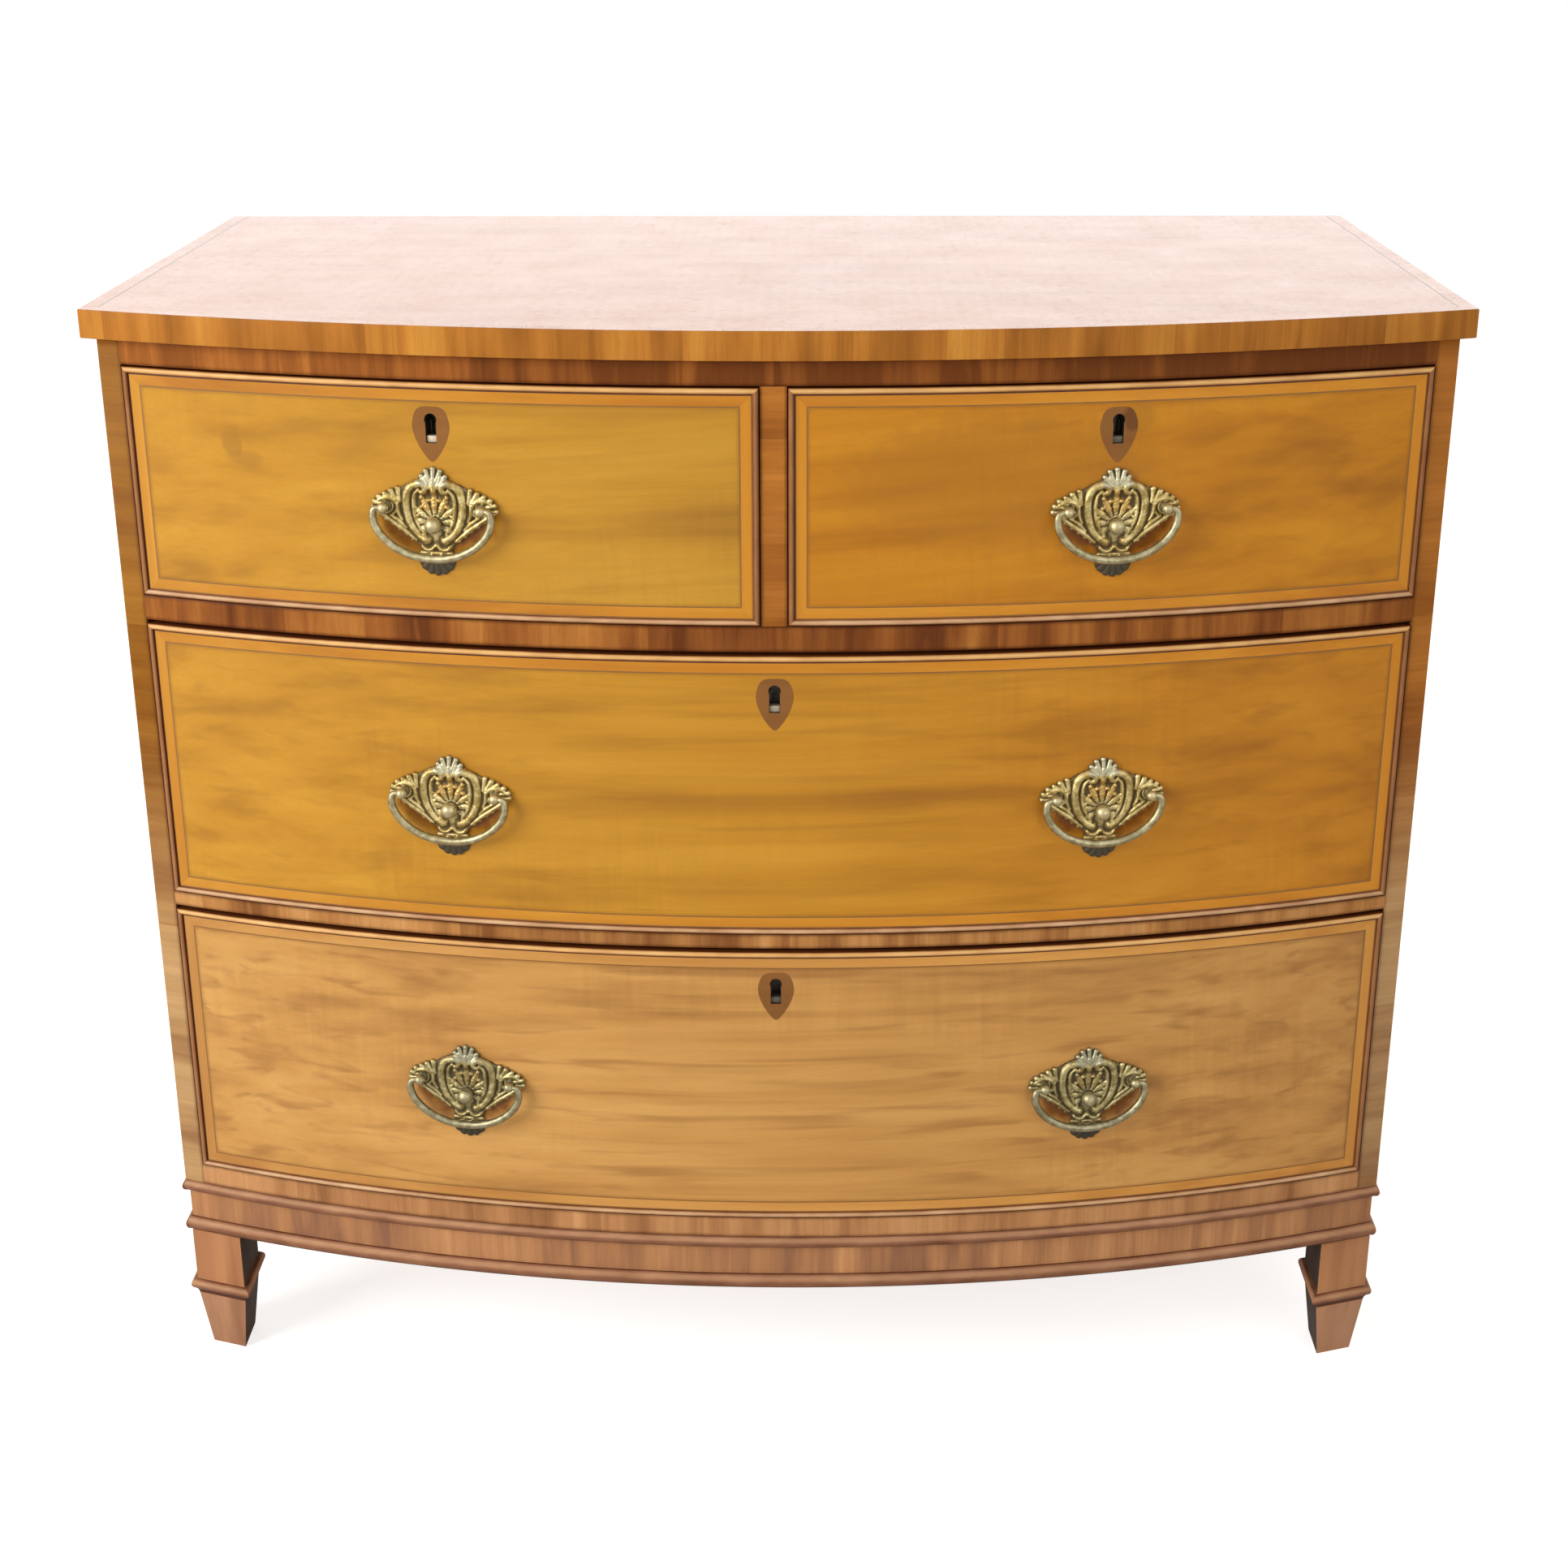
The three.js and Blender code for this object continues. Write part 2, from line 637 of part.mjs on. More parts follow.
// A turned post or boss whose ball head has its middle at the given height
function turnedPost(neckRadius, headRadius, height, foot) {
  const points = [[0, foot], [neckRadius, foot]];
  const start = Math.asin(Math.min(neckRadius / headRadius, 1));
  for (let i = 0; i < postHeadSteps; i += 1) {
    const angle = start + ((Math.PI - start) * i) / postHeadSteps;
    points.push([headRadius * Math.sin(angle), height - headRadius * Math.cos(angle)]);
  }
  points.push([0, height + headRadius]);
  const profile = points.map(([radius, up]) => new THREE.Vector2(radius, up));
  return new THREE.LatheGeometry(profile, postSegments).rotateX(Math.PI);
}

// A round rod along Y between two depths behind the drawer front's face
function rodAlongY(radius, y0, y1, sides) {
  const rod = new THREE.CylinderGeometry(radius, radius, y1 - y0, sides);
  return rod.translate(0, (y0 + y1) / 2, 0);
}

// The two post bolts, or with a clearance the holes that they pass through
function postBolts(radius, y0, y1) {
  const postX = postSpacing / 2;
  return [-postX, postX].map((x) => rodAlongY(radius, y0, y1, boltSides).translate(x, 0, 0));
}

function backplateGeometry() {
  const face = -gap - plateThickness;
  const plate = extrudeBack(plateOutline(), face, -gap);
  const inPlate = gap + plateThickness / 2;
  const postX = postSpacing / 2;
  const posts = [-postX, postX].map((x) => {
    const post = turnedPost(postNeckRadius, postHeadRadius, bailAxisHeight, inPlate);
    return post.translate(x, 0, 0);
  });
  const boss = turnedPost(bossRadius / 2, bossRadius, bossRadius + plateThickness, inPlate);
  boss.translate(0, 0, -bossDrop);
  const crest = shellDome(face, crestHalfWidth, crestHalfHeight, plateTop - crestHalfHeight - ovalBandWidth);
  const shellZ = lowerShellHalfHeight + gap - plateBottom;
  const shell = shellDome(face, lowerShellHalfWidth, lowerShellHalfHeight, shellZ);
  const behind = box(-plateHalfWidth, plateHalfWidth, -gap, shellRelief + overrun, -plateBottom, plateTop);
  const plain = cut(join(plate, ovalBand(face), crest, shell, ...posts, boss), behind);
  const innerSag = bowY(postX + nutWidth, bowRadius - frontThickness) - bowY(0, bowRadius - frontThickness);
  const nutSeat = frontThickness + innerSag + gap;
  const bolts = postBolts(boltRadius, -inPlate, nutSeat + nutThickness + boltEnd);
  const nut = rodAlongY(nutWidth / Math.SQRT2, nutSeat, nutSeat + nutThickness, squareSides);
  nut.rotateY(Math.PI / squareSides);
  const nuts = [-postX, postX].map((x) => nut.clone().translate(x, 0, 0));
  const fixed = join(plain, ...bolts, ...nuts);
  const holeRadius = (bailPinRadius + gap) / Math.cos(Math.PI / pinSides);
  const holeLength = 2 * (postHeadRadius + overrun);
  const hole = new THREE.CylinderGeometry(holeRadius, holeRadius, holeLength, pinSides);
  hole.rotateZ(Math.PI / 2);
  const holes = [-postX, postX].map((x) => hole.clone().translate(x, -bailAxisHeight, 0));
  return cut(fixed, ...holes);
}

// The swinging bail: a curved grip whose ends turn in through the posts
function bailGeometry() {
  const postX = postSpacing / 2;
  const half = bailShares.map(([across, up]) => [across * bailHalfWidth, up * bailDrop]);
  const bend = [postX + postHeadRadius + bailRadius / 2, 0];
  const right = [bend, ...half];
  const left = right.map(([x, z]) => [-x, z]);
  const course = [...left, [0, -bailDrop], ...right.slice().reverse()];
  const path = new THREE.CatmullRomCurve3(course.map(([x, z]) => new THREE.Vector3(x, 0, z)));
  const section = new THREE.Shape(ellipse(bailRadius, bailRadius, bailSides));
  const sweep = { steps: bailSteps, bevelEnabled: false, extrudePath: path };
  const grip = new THREE.ExtrudeGeometry(section, sweep);
  const pinLength = bend[0] - postX + bailPinReach + bailRadius / 2;
  const pin = new THREE.CylinderGeometry(bailPinRadius, bailPinRadius, pinLength, pinSides);
  pin.rotateZ(Math.PI / 2);
  const pinX = postX - bailPinReach + pinLength / 2;
  const pins = [-pinX, pinX].map((x) => pin.clone().translate(x, 0, 0));
  return join(grip, ...pins);
}

function addHandle(parent, name, x, z) {
  const frame = bowFrame(x, z);
  parent.add(frame);
  addPiece(frame, `${name}_backplate`, backplateGeometry(), 'brass');
  const pivot = new THREE.Group();
  pivot.position.y = -bailAxisHeight;
  frame.add(pivot);
  addPiece(pivot, `${name}_bail`, bailGeometry(), 'brass');
}

function addDrawers(parent) {
  const inner = shortDrawerInner;
  const outer = drawerOuter;
  const short = [shortOpeningZ, shortOpeningHeight, shortDrawerTopClearance];
  const upper = [upperOpeningZ, upperOpeningHeight, longDrawerTopClearance];
  const lower = [lowerOpeningZ, lowerOpeningHeight, longDrawerTopClearance];
  const pair = (row) => [[`${row}_left`, -handleX], [`${row}_right`, handleX]];
  const drawers = [
    drawerSizes('left_short_drawer', -outer, -inner, ...short, [['left_short', -handleX]]),
    drawerSizes('right_short_drawer', inner, outer, ...short, [['right_short', handleX]]),
    drawerSizes('upper_long_drawer', -outer, outer, ...upper, pair('upper')),
    drawerSizes('lower_long_drawer', -outer, outer, ...lower, pair('lower')),
  ];
  drawers.forEach((drawer) => addDrawer(parent, drawer));
}

const chest = new THREE.Group();
chest.position.y = -originY;
addTop(chest);
addSides(chest);
addRails(chest);
addBoards(chest);
addDivision(chest);
addBackPanel(chest);
addPlinth(chest);
addBeads(chest);
addFeet(chest);
addDrawers(chest);

export default chest;
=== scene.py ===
"""A bow front chest of drawers: golden veneer fields, light bandings, dark strings, rounded
cockbeads, crossbanded rails, cast brass bail handles and a moulded plinth on tapered feet.
All lengths are in metres. The bowed front faces -Y."""

import math

import bmesh
import bpy
import numpy as np
from mathutils import Matrix, Vector


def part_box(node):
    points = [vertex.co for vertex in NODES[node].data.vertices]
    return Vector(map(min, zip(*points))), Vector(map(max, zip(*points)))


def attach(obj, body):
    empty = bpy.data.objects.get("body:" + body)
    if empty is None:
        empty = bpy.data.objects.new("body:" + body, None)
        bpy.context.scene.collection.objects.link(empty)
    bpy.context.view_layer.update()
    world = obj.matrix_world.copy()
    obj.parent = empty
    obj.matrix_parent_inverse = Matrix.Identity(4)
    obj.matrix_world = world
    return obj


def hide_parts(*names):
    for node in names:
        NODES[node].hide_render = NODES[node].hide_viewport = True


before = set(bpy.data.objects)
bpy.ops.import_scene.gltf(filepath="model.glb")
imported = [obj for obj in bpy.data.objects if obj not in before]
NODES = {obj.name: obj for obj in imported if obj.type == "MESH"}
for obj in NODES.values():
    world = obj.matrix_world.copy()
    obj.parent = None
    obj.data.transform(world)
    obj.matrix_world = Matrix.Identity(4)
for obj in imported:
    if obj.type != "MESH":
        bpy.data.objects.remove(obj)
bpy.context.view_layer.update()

MM = 0.001
AXES = {"X": 0, "Y": 1, "Z": 2}
TOLERANCE = 0.01 * MM  # within which two places count as one
CUT_OVERRUN = 10 * MM  # of a cutter past the face that it cuts
SAME_PLANE = 0.3  # degrees between faces of a copied piece that are merged

# The bow, from the frame: its rails give the middle and the sides give the corners
CASE_LOW, CASE_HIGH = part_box("left_side")
CASE_HALF = -CASE_LOW.x
BOW_MIDDLE_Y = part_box("middle_rail")[0].y


def corner_of_bow():
    """Y of the front's outer corner, where the side's outer face ends."""
    side = NODES["left_side"].data
    return min(v.co.y for v in side.vertices if abs(v.co.x + CASE_HALF) < TOLERANCE)


FRONT_CORNER_Y = corner_of_bow()
BOW_RISE = FRONT_CORNER_Y - BOW_MIDDLE_Y
BOW_RADIUS = (CASE_HALF ** 2 + BOW_RISE ** 2) / (2 * BOW_RISE)
BOW_CENTRE_Y = BOW_MIDDLE_Y + BOW_RADIUS
BOW_STEP = 11 * MM  # length of each flat along a bowed surface
SPIN_MARGIN = 0.004  # radians that a bowed strip is spun past each end, before it is sawn

# Veneer and inlay
VENEER_PROUD = 0.15 * MM  # of a veneer's face before the wood that it lies on
VENEER_SUNK = 0.35 * MM  # of its back behind that
VENEER_RUB = 0.12 * MM  # off the arrises of a strip of veneer
DIRT_AND_SHADE_REACH = 3.5 * MM  # of dirt and painted shade in from an edge
BANDING_WIDTH = 7.9 * MM
WAX_SHADOW_WIDTH = 1.2 * MM  # the dark line along the cockbead: old polish, and painted shade under the bead
STRING_WIDTH = 1.1 * MM
STRING_PROUD = 0.18 * MM
WAX_SHADOW_PROUD = 0.05 * MM
ESCUTCHEON_PROUD = 0.32 * MM
ESCUTCHEON_WIDTH = 29 * MM
ESCUTCHEON_HEIGHT = 42 * MM
ESCUTCHEON_DROP = 18 * MM  # of its top below the top of the drawer front
ESCUTCHEON_ARRIS = 0.08 * MM

# Cockbead
BEAD_THICKNESS = 4.5 * MM
BEAD_PROUD = 2.5 * MM
BEAD_SUNK = 9 * MM
BEAD_ARC_STEPS = 10
UPRIGHT_WEAR_AND_HIGHLIGHT = 0.7  # share of rubbing and painted highlight along the nose of an upright length, lower as it faces the light less
LEVEL_HIGHLIGHT_SPAN = 0.22  # by which the upper side of a level length is painted lighter than its nose, as its highlight

# Keyhole
KEYHOLE_DROP = 28 * MM
KEYHOLE_RADIUS = 4.8 * MM
KEYHOLE_SLOT = 8.4 * MM
KEYHOLE_HEIGHT = 22.4 * MM
KEYHOLE_ARC_STEPS = 20
LINER_WALL = 0.3 * MM
LINER_SETBACK = 0.6 * MM
LINER_DEPTH = 16 * MM
LINER_CLEARANCE = 0.5 * MM  # behind the liner, in the wood
SILL_HEIGHT = 5.0 * MM  # of the brass that shows at the foot of a keyhole
SILL_SETBACK = 1.6 * MM
SILL_ROUNDING = 0.5 * MM

# Case
SIDE_ARRIS = 0.4 * MM
MOULDING_SUNK = 2 * MM
FRONT_OVERRUN = 20 * MM  # of a strip's front length past its mitres, before they are sawn
SIDE_OVERRUN = 30 * MM

# Boards of the back, the dustboards and the bottom
BACK_LOW, BACK_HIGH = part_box("back_panel")
BACK_BOARDS = 8
BOARD_WIDTH = (BACK_HIGH.x - BACK_LOW.x) / BACK_BOARDS
JOINT_WIDTH = 1.6 * MM

# Top
TOP_BORDER = 13 * MM
TOP_STRING = 1.3 * MM
TOP_ARRIS = 0.9 * MM
TOP_STRIPS = 36  # that its broad faces are divided into
TOP_STRING_PROUD = 0.04 * MM
FLAT = 0.9999  # least upward part of a flat face's normal
EDGE_TURN = 0.75  # and of the rounded arris's, above which it is finished as the top

# Foot
FOOT_WIDTH = 45.5 * MM
FOOT_DEPTH = 56 * MM
FOOT_BLOCK = 50 * MM
FOOT_COLLAR = 15 * MM
FOOT_COLLAR_PROUD = 5 * MM
FOOT_BEAD_SHARE = 0.62  # of the collar's height, over its hollow
FOOT_BEAD_STEPS = 8
FOOT_BEAD_SQUARENESS = 0.8  # power of the half circle, which is rounder at 1
FOOT_HOLLOW_SHARES = (0.0, 0.35, 0.7, 1.0)
FOOT_HOLLOW_TOP_SHARE = 0.42  # of the bead's reach
FOOT_HOLLOW_DEPTH = 0.5 * MM
FOOT_SHADED_SHARE = 0.3  # of the collar's height, at its foot, that stays dark as painted shade under the bead
FOOT_TOE_WIDTH = 31 * MM
FOOT_INSET = 1 * MM
FOOT_ARRIS = 0.5 * MM
FOOT_INNER_TURN = 0.7  # least inward part of an inner face's normal, above which the face is painted dark as shade

# Handle
BAIL_AXIS = 10 * MM  # of the pivots before the drawer front
HANDLE_DROP = 4 * MM  # of the posts below the middle of the drawer front
HANDLE_X = 255.75 * MM


def srgb(red, green, blue):
    """A colour given as it looks on a screen, from 0 to 255, as linear light."""
    def linear(value):
        share = value / 255
        return share / 12.92 if share <= 0.04045 else ((share + 0.055) / 1.055) ** 2.4
    return (linear(red), linear(green), linear(blue), 1.0)


def bow_y(x, out=0.0):
    """Y of the bowed face at x, or of a face that stands out from it."""
    radius = BOW_RADIUS + out
    return BOW_CENTRE_Y - math.sqrt(radius * radius - x * x)


def distance_out(place):
    """How far a place stands out from the bow."""
    return math.hypot(place.x, place.y - BOW_CENTRE_Y) - BOW_RADIUS


HANDLES = {
    "left_short": "left_short_drawer", "right_short": "right_short_drawer",
    "upper_left": "upper_long_drawer", "upper_right": "upper_long_drawer",
    "lower_left": "lower_long_drawer", "lower_right": "lower_long_drawer",
}


def handle_place(name):
    """X and Z of the middle between a handle's posts."""
    low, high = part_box(HANDLES[name] + "_cockbead")
    x = math.copysign(HANDLE_X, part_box(name + "_backplate")[0].x)
    return x, (low.z + high.z) / 2 - HANDLE_DROP


def handle_places(drawer):
    """X and Z of each of a drawer's handles."""
    return [handle_place(name) for name, owner in HANDLES.items() if owner == drawer]


# Finishes

class Wire:
    """A value, colour or vector on its way through the nodes of a finish."""

    def __init__(self, finish, socket):
        self.finish = finish
        self.socket = socket

    def __add__(self, other):
        return self.finish.math("ADD", self, other)

    def __radd__(self, other):
        return self.finish.math("ADD", other, self)

    def __sub__(self, other):
        return self.finish.math("SUBTRACT", self, other)

    def __rsub__(self, other):
        return self.finish.math("SUBTRACT", other, self)

    def __mul__(self, other):
        return self.finish.math("MULTIPLY", self, other)

    def __rmul__(self, other):
        return self.finish.math("MULTIPLY", other, self)


class Finish:
    """A material that is built up node by node."""

    def __init__(self, name):
        self.material = bpy.data.materials.new(name)
        self.material.use_nodes = True
        self.tree = self.material.node_tree
        self.tree.nodes.clear()

    def node(self, kind, settings=None, inputs=None, output=0):
        """Adds a node, sets its settings and sockets, and gives one of its outputs."""
        node = self.tree.nodes.new(kind)
        for name, value in (settings or {}).items():
            if name == "stops":
                self.set_stops(node.color_ramp, value)
            else:
                setattr(node, name, value)
        for key, value in (inputs or {}).items():
            if isinstance(value, Wire):
                self.tree.links.new(value.socket, node.inputs[key])
            else:
                node.inputs[key].default_value = value
        return Wire(self, node.outputs[output]) if node.outputs else node

    @staticmethod
    def set_stops(ramp, stops):
        while len(ramp.elements) < len(stops):
            ramp.elements.new(1.0)
        for element, (place, colour) in zip(ramp.elements, stops):
            element.position = place
            element.color = colour

    def math(self, operation, *values):
        return self.node("ShaderNodeMath", {"operation": operation}, dict(enumerate(values)))

    def between(self, value, low, high):
        """0 below low and 1 above high, with a soft rise between."""
        settings = {"interpolation_type": "SMOOTHSTEP"}
        return self.node("ShaderNodeMapRange", settings, {"Value": value, 1: low, 2: high})

    def mix(self, factor, first, second, blend="MIX"):
        settings = {"data_type": "RGBA", "blend_type": blend}
        return self.node("ShaderNodeMix", settings, {0: factor, 6: first, 7: second}, 2)

    def shade(self, colour, factor):
        """A colour made darker or lighter by a value."""
        return self.mix(1.0, colour, self.vector(factor, factor, factor), "MULTIPLY")

    def stored(self, name):
        """The value that is stored in the mesh under a name."""
        return self.node("ShaderNodeAttribute", {"attribute_name": name}, {}, "Fac")

    def soil(self, colour, strength, tint):
        """Darkens a colour along an edge: dirt and old polish gathered there, and painted shade
        beside a neighbouring part.
        """
        # the stored share is dirt, and painted shade along edges beside proud parts
        dirt = self.stored("soil")
        blur = self.noise(self.place(), 55, 3)
        share = self.between(dirt * 0.9 + (blur - 0.5) * 0.5, 0.1, 1.0)
        return self.mix(share * strength, colour, tint)

    def dark_patch(self, colour, spot, reach, strength, tint):
        """Darkens a round patch, such as a knot in the veneer, and the wood that a handle hangs
        before, where the bail's shadow is painted along with dirt. Its middle and its reach are in
        X and Z."""
        x, z = spot
        off = self.vector_math("SUBTRACT", self.place(), (x, 0, z))
        off = self.vector_math("MULTIPLY", off, (1 / reach[0], 0, 1 / reach[1]))
        away = self.node("ShaderNodeVectorMath", {"operation": "LENGTH"}, {0: off}, "Value")
        ragged = self.noise(self.place(), 90, 3)
        share = 1 - self.between(away + (ragged - 0.5) * 0.6, 0.65, 1.15)
        return self.mix(share * strength, colour, tint)

    def tinted_along(self, colour, axis_tint):
        """A colour tinted along an axis, for painted light and shade. axis_tint holds the axis,
        two places along it and the tints there."""
        axis, start, end, first, last = axis_tint
        share = self.between(self.parts(self.place())[AXES[axis]], start, end)
        return self.mix(1.0, colour, self.mix(share, first, last), "MULTIPLY")

    def ramp(self, value, *stops):
        return self.node("ShaderNodeValToRGB", {"stops": stops}, {0: value})

    def place(self):
        """The place of each point, in metres."""
        return self.node("ShaderNodeTexCoord", {}, {}, "Object")

    def parts(self, vector):
        """The three components of a vector."""
        return [self.node("ShaderNodeSeparateXYZ", {}, {0: vector}, i) for i in range(3)]

    def vector(self, x, y, z):
        return self.node("ShaderNodeCombineXYZ", {}, {0: x, 1: y, 2: z})

    def cut_from(self, seed, steps=(0.37, 0.71, 1.13), turn=(0, 0, 0)):
        """The place in an endless pattern that a piece is cut from, so that no two are alike."""
        shift = [seed * step for step in steps]
        return self.node("ShaderNodeMapping", {}, {0: self.place(), 1: shift, 2: turn})

    def vector_math(self, operation, first, second):
        """Works out one vector from two."""
        return self.node("ShaderNodeVectorMath", {"operation": operation}, {0: first, 1: second})

    def noise(self, vector, scale=1.0, detail=2.0, roughness=0.5, distortion=0.0):
        inputs = {0: vector, "Scale": scale, "Detail": detail, "Roughness": roughness}
        inputs["Distortion"] = distortion
        return self.node("ShaderNodeTexNoise", {}, inputs)

    def grained(self, vector, grain, along, across, detail=2.0, roughness=0.5, distortion=0.0):
        """Noise that runs along the grain's axis, with its scales along and across it."""
        scale = [across, across, across]
        scale[AXES[grain]] = along
        drawn_out = self.vector_math("MULTIPLY", vector, scale)
        return self.noise(drawn_out, 1, detail, roughness, distortion)

    def cells(self, value, scale):
        """A random level, from 0 to 1, for each of a row of cells of unequal lengths."""
        settings = {"voronoi_dimensions": "1D"}
        colour = self.node("ShaderNodeTexVoronoi", settings, {"W": value, "Scale": scale}, "Color")
        return self.parts(colour)[0]

    def boarded(self, run, width):
        """For boards of one width laid side by side: each one's level, and the joints."""
        count = run * (1 / width)
        whole = self.math("FLOOR", count)
        level = self.node("ShaderNodeTexWhiteNoise", {"noise_dimensions": "1D"}, {"W": whole})
        near_joint = self.math("PINGPONG", count, 0.5) * width
        return level, 1 - self.between(near_joint, JOINT_WIDTH / 4, JOINT_WIDTH)

    def bump(self, height, distance, strength=1.0):
        inputs = {"Height": height, "Distance": distance, "Strength": strength}
        return self.node("ShaderNodeBump", {}, inputs)

    def surface(self, **inputs):
        """Ends the finish with its shader; _ stands for a space in a socket's name."""
        named = {name.replace("_", " "): value for name, value in inputs.items()}
        shader = self.node("ShaderNodeBsdfPrincipled", {}, named)
        self.node("ShaderNodeOutputMaterial", {}, {0: shader})
        return self.material


def wood(name, grain, tones, seed=0.0, slant=0.0, streak=1.0, smoke=0.25, ripple=0.0, pore=0.2,
         roughness=0.3, bump=0.4, gloss=0.3, axis_tint=None, dirtied_and_shaded=0.0, bail_shade_and_dirt=(), knots=(),
         boards=None):
    """Sawn or sliced wood with its grain along an axis. tones are its light, middle and dark.
    boards is the axis that it is jointed along."""
    finish = Finish(name)
    place = finish.cut_from(seed, turn=(0, math.radians(slant), 0))
    light, middle, dark = tones

    figure = finish.grained(place, grain, 1.7, 44, 3, 0.5, 0.25)
    clouds = finish.grained(place, grain, 3.5, 11, 2, 0.5, 0.3)
    fibre = finish.grained(place, grain, 7, 430, 3, 0.65)
    dashes = finish.grained(place, grain, 95, 2600, 1)
    wisps = finish.grained(place, grain, 3.2, 80, 2, 0.5, 0.5)

    tone = figure * 0.6 + clouds * 0.4
    colour = finish.ramp(tone, (0.3, dark), (0.48, middle), (0.66, light))
    colour = finish.mix(streak, middle, colour)
    wisp = finish.between(wisps, 0.5, 0.78)
    colour = finish.mix(wisp * smoke, colour, dark)
    if ripple:
        waves = finish.grained(place, grain, 120, 11, 2, 0.5, 0.7)
        patches = finish.between(finish.noise(place, 7, 1), 0.42, 0.66)
        colour = finish.shade(colour, 1 + (waves - 0.5) * patches * ripple)
    if axis_tint:
        colour = finish.tinted_along(colour, axis_tint)
    colour = finish.shade(colour, 0.92 + fibre * 0.16)
    pores = finish.between(dashes, 0.6, 0.72)
    colour = finish.mix(pores * pore, colour, dark)
    if boards:
        run = finish.parts(finish.place())[AXES[boards]]
        level, joint = finish.boarded(run, BOARD_WIDTH)
        colour = finish.shade(colour, 0.86 + level * 0.24)
        colour = finish.mix(joint * JOINT_STRENGTH, colour, JOINT_TINT)
    for spot, reach, strength in knots:
        colour = finish.dark_patch(colour, spot, reach, strength, dark)
    # painted shadow of each bail, with dirt, on the wood that it hangs before
    for x, z in bail_shade_and_dirt:
        spot = (x, z - BAIL_SHADE_AND_DIRT_DROP)
        colour = finish.dark_patch(colour, spot, BAIL_SHADE_AND_DIRT_REACH, BAIL_SHADE_AND_DIRT_STRENGTH, BAIL_SHADE_AND_DIRT_TINT)
    if dirtied_and_shaded:
        colour = finish.soil(colour, dirtied_and_shaded, WAX_TINT)
    smudge = finish.noise(place, 16, 3)
    shine = roughness - 0.05 + smudge * 0.12 + pores * 0.2
    normal = finish.bump(fibre * 0.4 - pores, PORE_DEPTH, bump)
    return finish.surface(Base_Color=colour, Roughness=shine, Normal=normal,
                          Specular_IOR_Level=gloss)


def crossband(name, along, lie, tones, seed=0.0, cell=0.07, roughness=0.34, spread=1.0,
              gloss=0.05, axis_tint=None, painted_shade=None, dirtied_and_shaded=0.0):
    """Veneer laid with its grain across a strip, in short lengths of unequal tone.
    along is the strip's direction and lie the direction of the grain. painted_shade holds two
    places from left to right, and how much darker the strip is painted between them, as shade
    under the top and as light dying away across the bow."""
    finish = Finish(name)
    place = finish.cut_from(seed, (0.53, 0.29, 0.83))
    sides = finish.parts(place)
    run = sum((sides[AXES[axis]] for axis in along[1:]), sides[AXES[along[0]]])
    rise = sides[AXES[lie]]
    light, middle, dark = tones

    patch = finish.cells(run, 1 / cell)
    streaks = finish.noise(finish.vector(run * 300, rise * 9, patch * 40), 1, 3, 0.6)
    threads = finish.noise(finish.vector(run * 900, rise * 20, patch * 40), 1, 2, 0.6)
    bands = finish.noise(finish.vector(run * 60, rise * 5, patch * 3), 1, 3, 0.55, 0.5)
    slow = finish.noise(finish.vector(run * 22, rise * 4, 0.0), 1, 2)
    tone = 0.5 + (patch - 0.5) * (0.2 * spread) + (bands - 0.5) * 0.9 + (slow - 0.5) * 1.1
    if painted_shade:
        start, end, drop = painted_shade
        tone = tone - finish.between(finish.parts(finish.place())[0], start, end) * drop
    colour = finish.ramp(tone, (0.18, dark), (0.5, middle), (0.8, light))
    if axis_tint:
        colour = finish.tinted_along(colour, axis_tint)
    colour = finish.shade(colour, 0.72 + streaks * 0.34 + threads * 0.22)
    dashes = finish.noise(finish.vector(run * 2400, rise * 110, patch * 40), 1, 1)
    pores = finish.between(dashes, 0.6, 0.72)
    colour = finish.mix(pores * 0.25, colour, dark)
    if dirtied_and_shaded:
        colour = finish.soil(colour, dirtied_and_shaded, DIRT_AND_SHADE_TINT)
    smudge = finish.noise(place, 18, 3)
    shine = roughness - 0.05 + smudge * 0.12 + pores * 0.2
    normal = finish.bump(streaks * 0.4 - pores, PORE_DEPTH, 0.3)
    return finish.surface(Base_Color=colour, Roughness=shine, Normal=normal,
                          Specular_IOR_Level=gloss)


def beading(name, grain, tones, seed, gloss=0.4):
    """Rounded edges: dark with painted shade in the corners beside them, and rubbed pale where
    hands and cloths reach, which also stands for their painted highlight. The share that is rubbed
    and highlit is stored in the mesh."""
    finish = Finish(name)
    place = finish.cut_from(seed)
    light, middle, dark = tones
    # worn is the share that is rubbed and painted as a highlight
    worn = finish.stored("worn")
    fibre = finish.grained(place, grain, 12, 500, 3, 0.65)
    knocks = finish.grained(place, grain, 26, 70, 3, 0.6)
    tone = worn + (knocks - 0.5) * 0.6
    colour = finish.ramp(tone, (0.2, dark), (0.55, middle), (0.95, light))
    colour = finish.shade(colour, 0.88 + fibre * 0.24)
    shine = 0.36 + knocks * 0.15 - worn * 0.1
    normal = finish.bump(fibre, 0.06 * MM, 0.3)
    return finish.surface(Base_Color=colour, Roughness=shine, Normal=normal,
                          Specular_IOR_Level=gloss)


def plain_line(name, colour, roughness=0.4):
    """Dark string, and the line of old polish and painted shade beside the cockbead: nearly even,
    with a little change of tone along it.
    """
    finish = Finish(name)
    level = finish.noise(finish.place(), 60, 3) * 0.5 + 0.75
    return finish.surface(Base_Color=finish.shade(colour, level), Roughness=roughness)


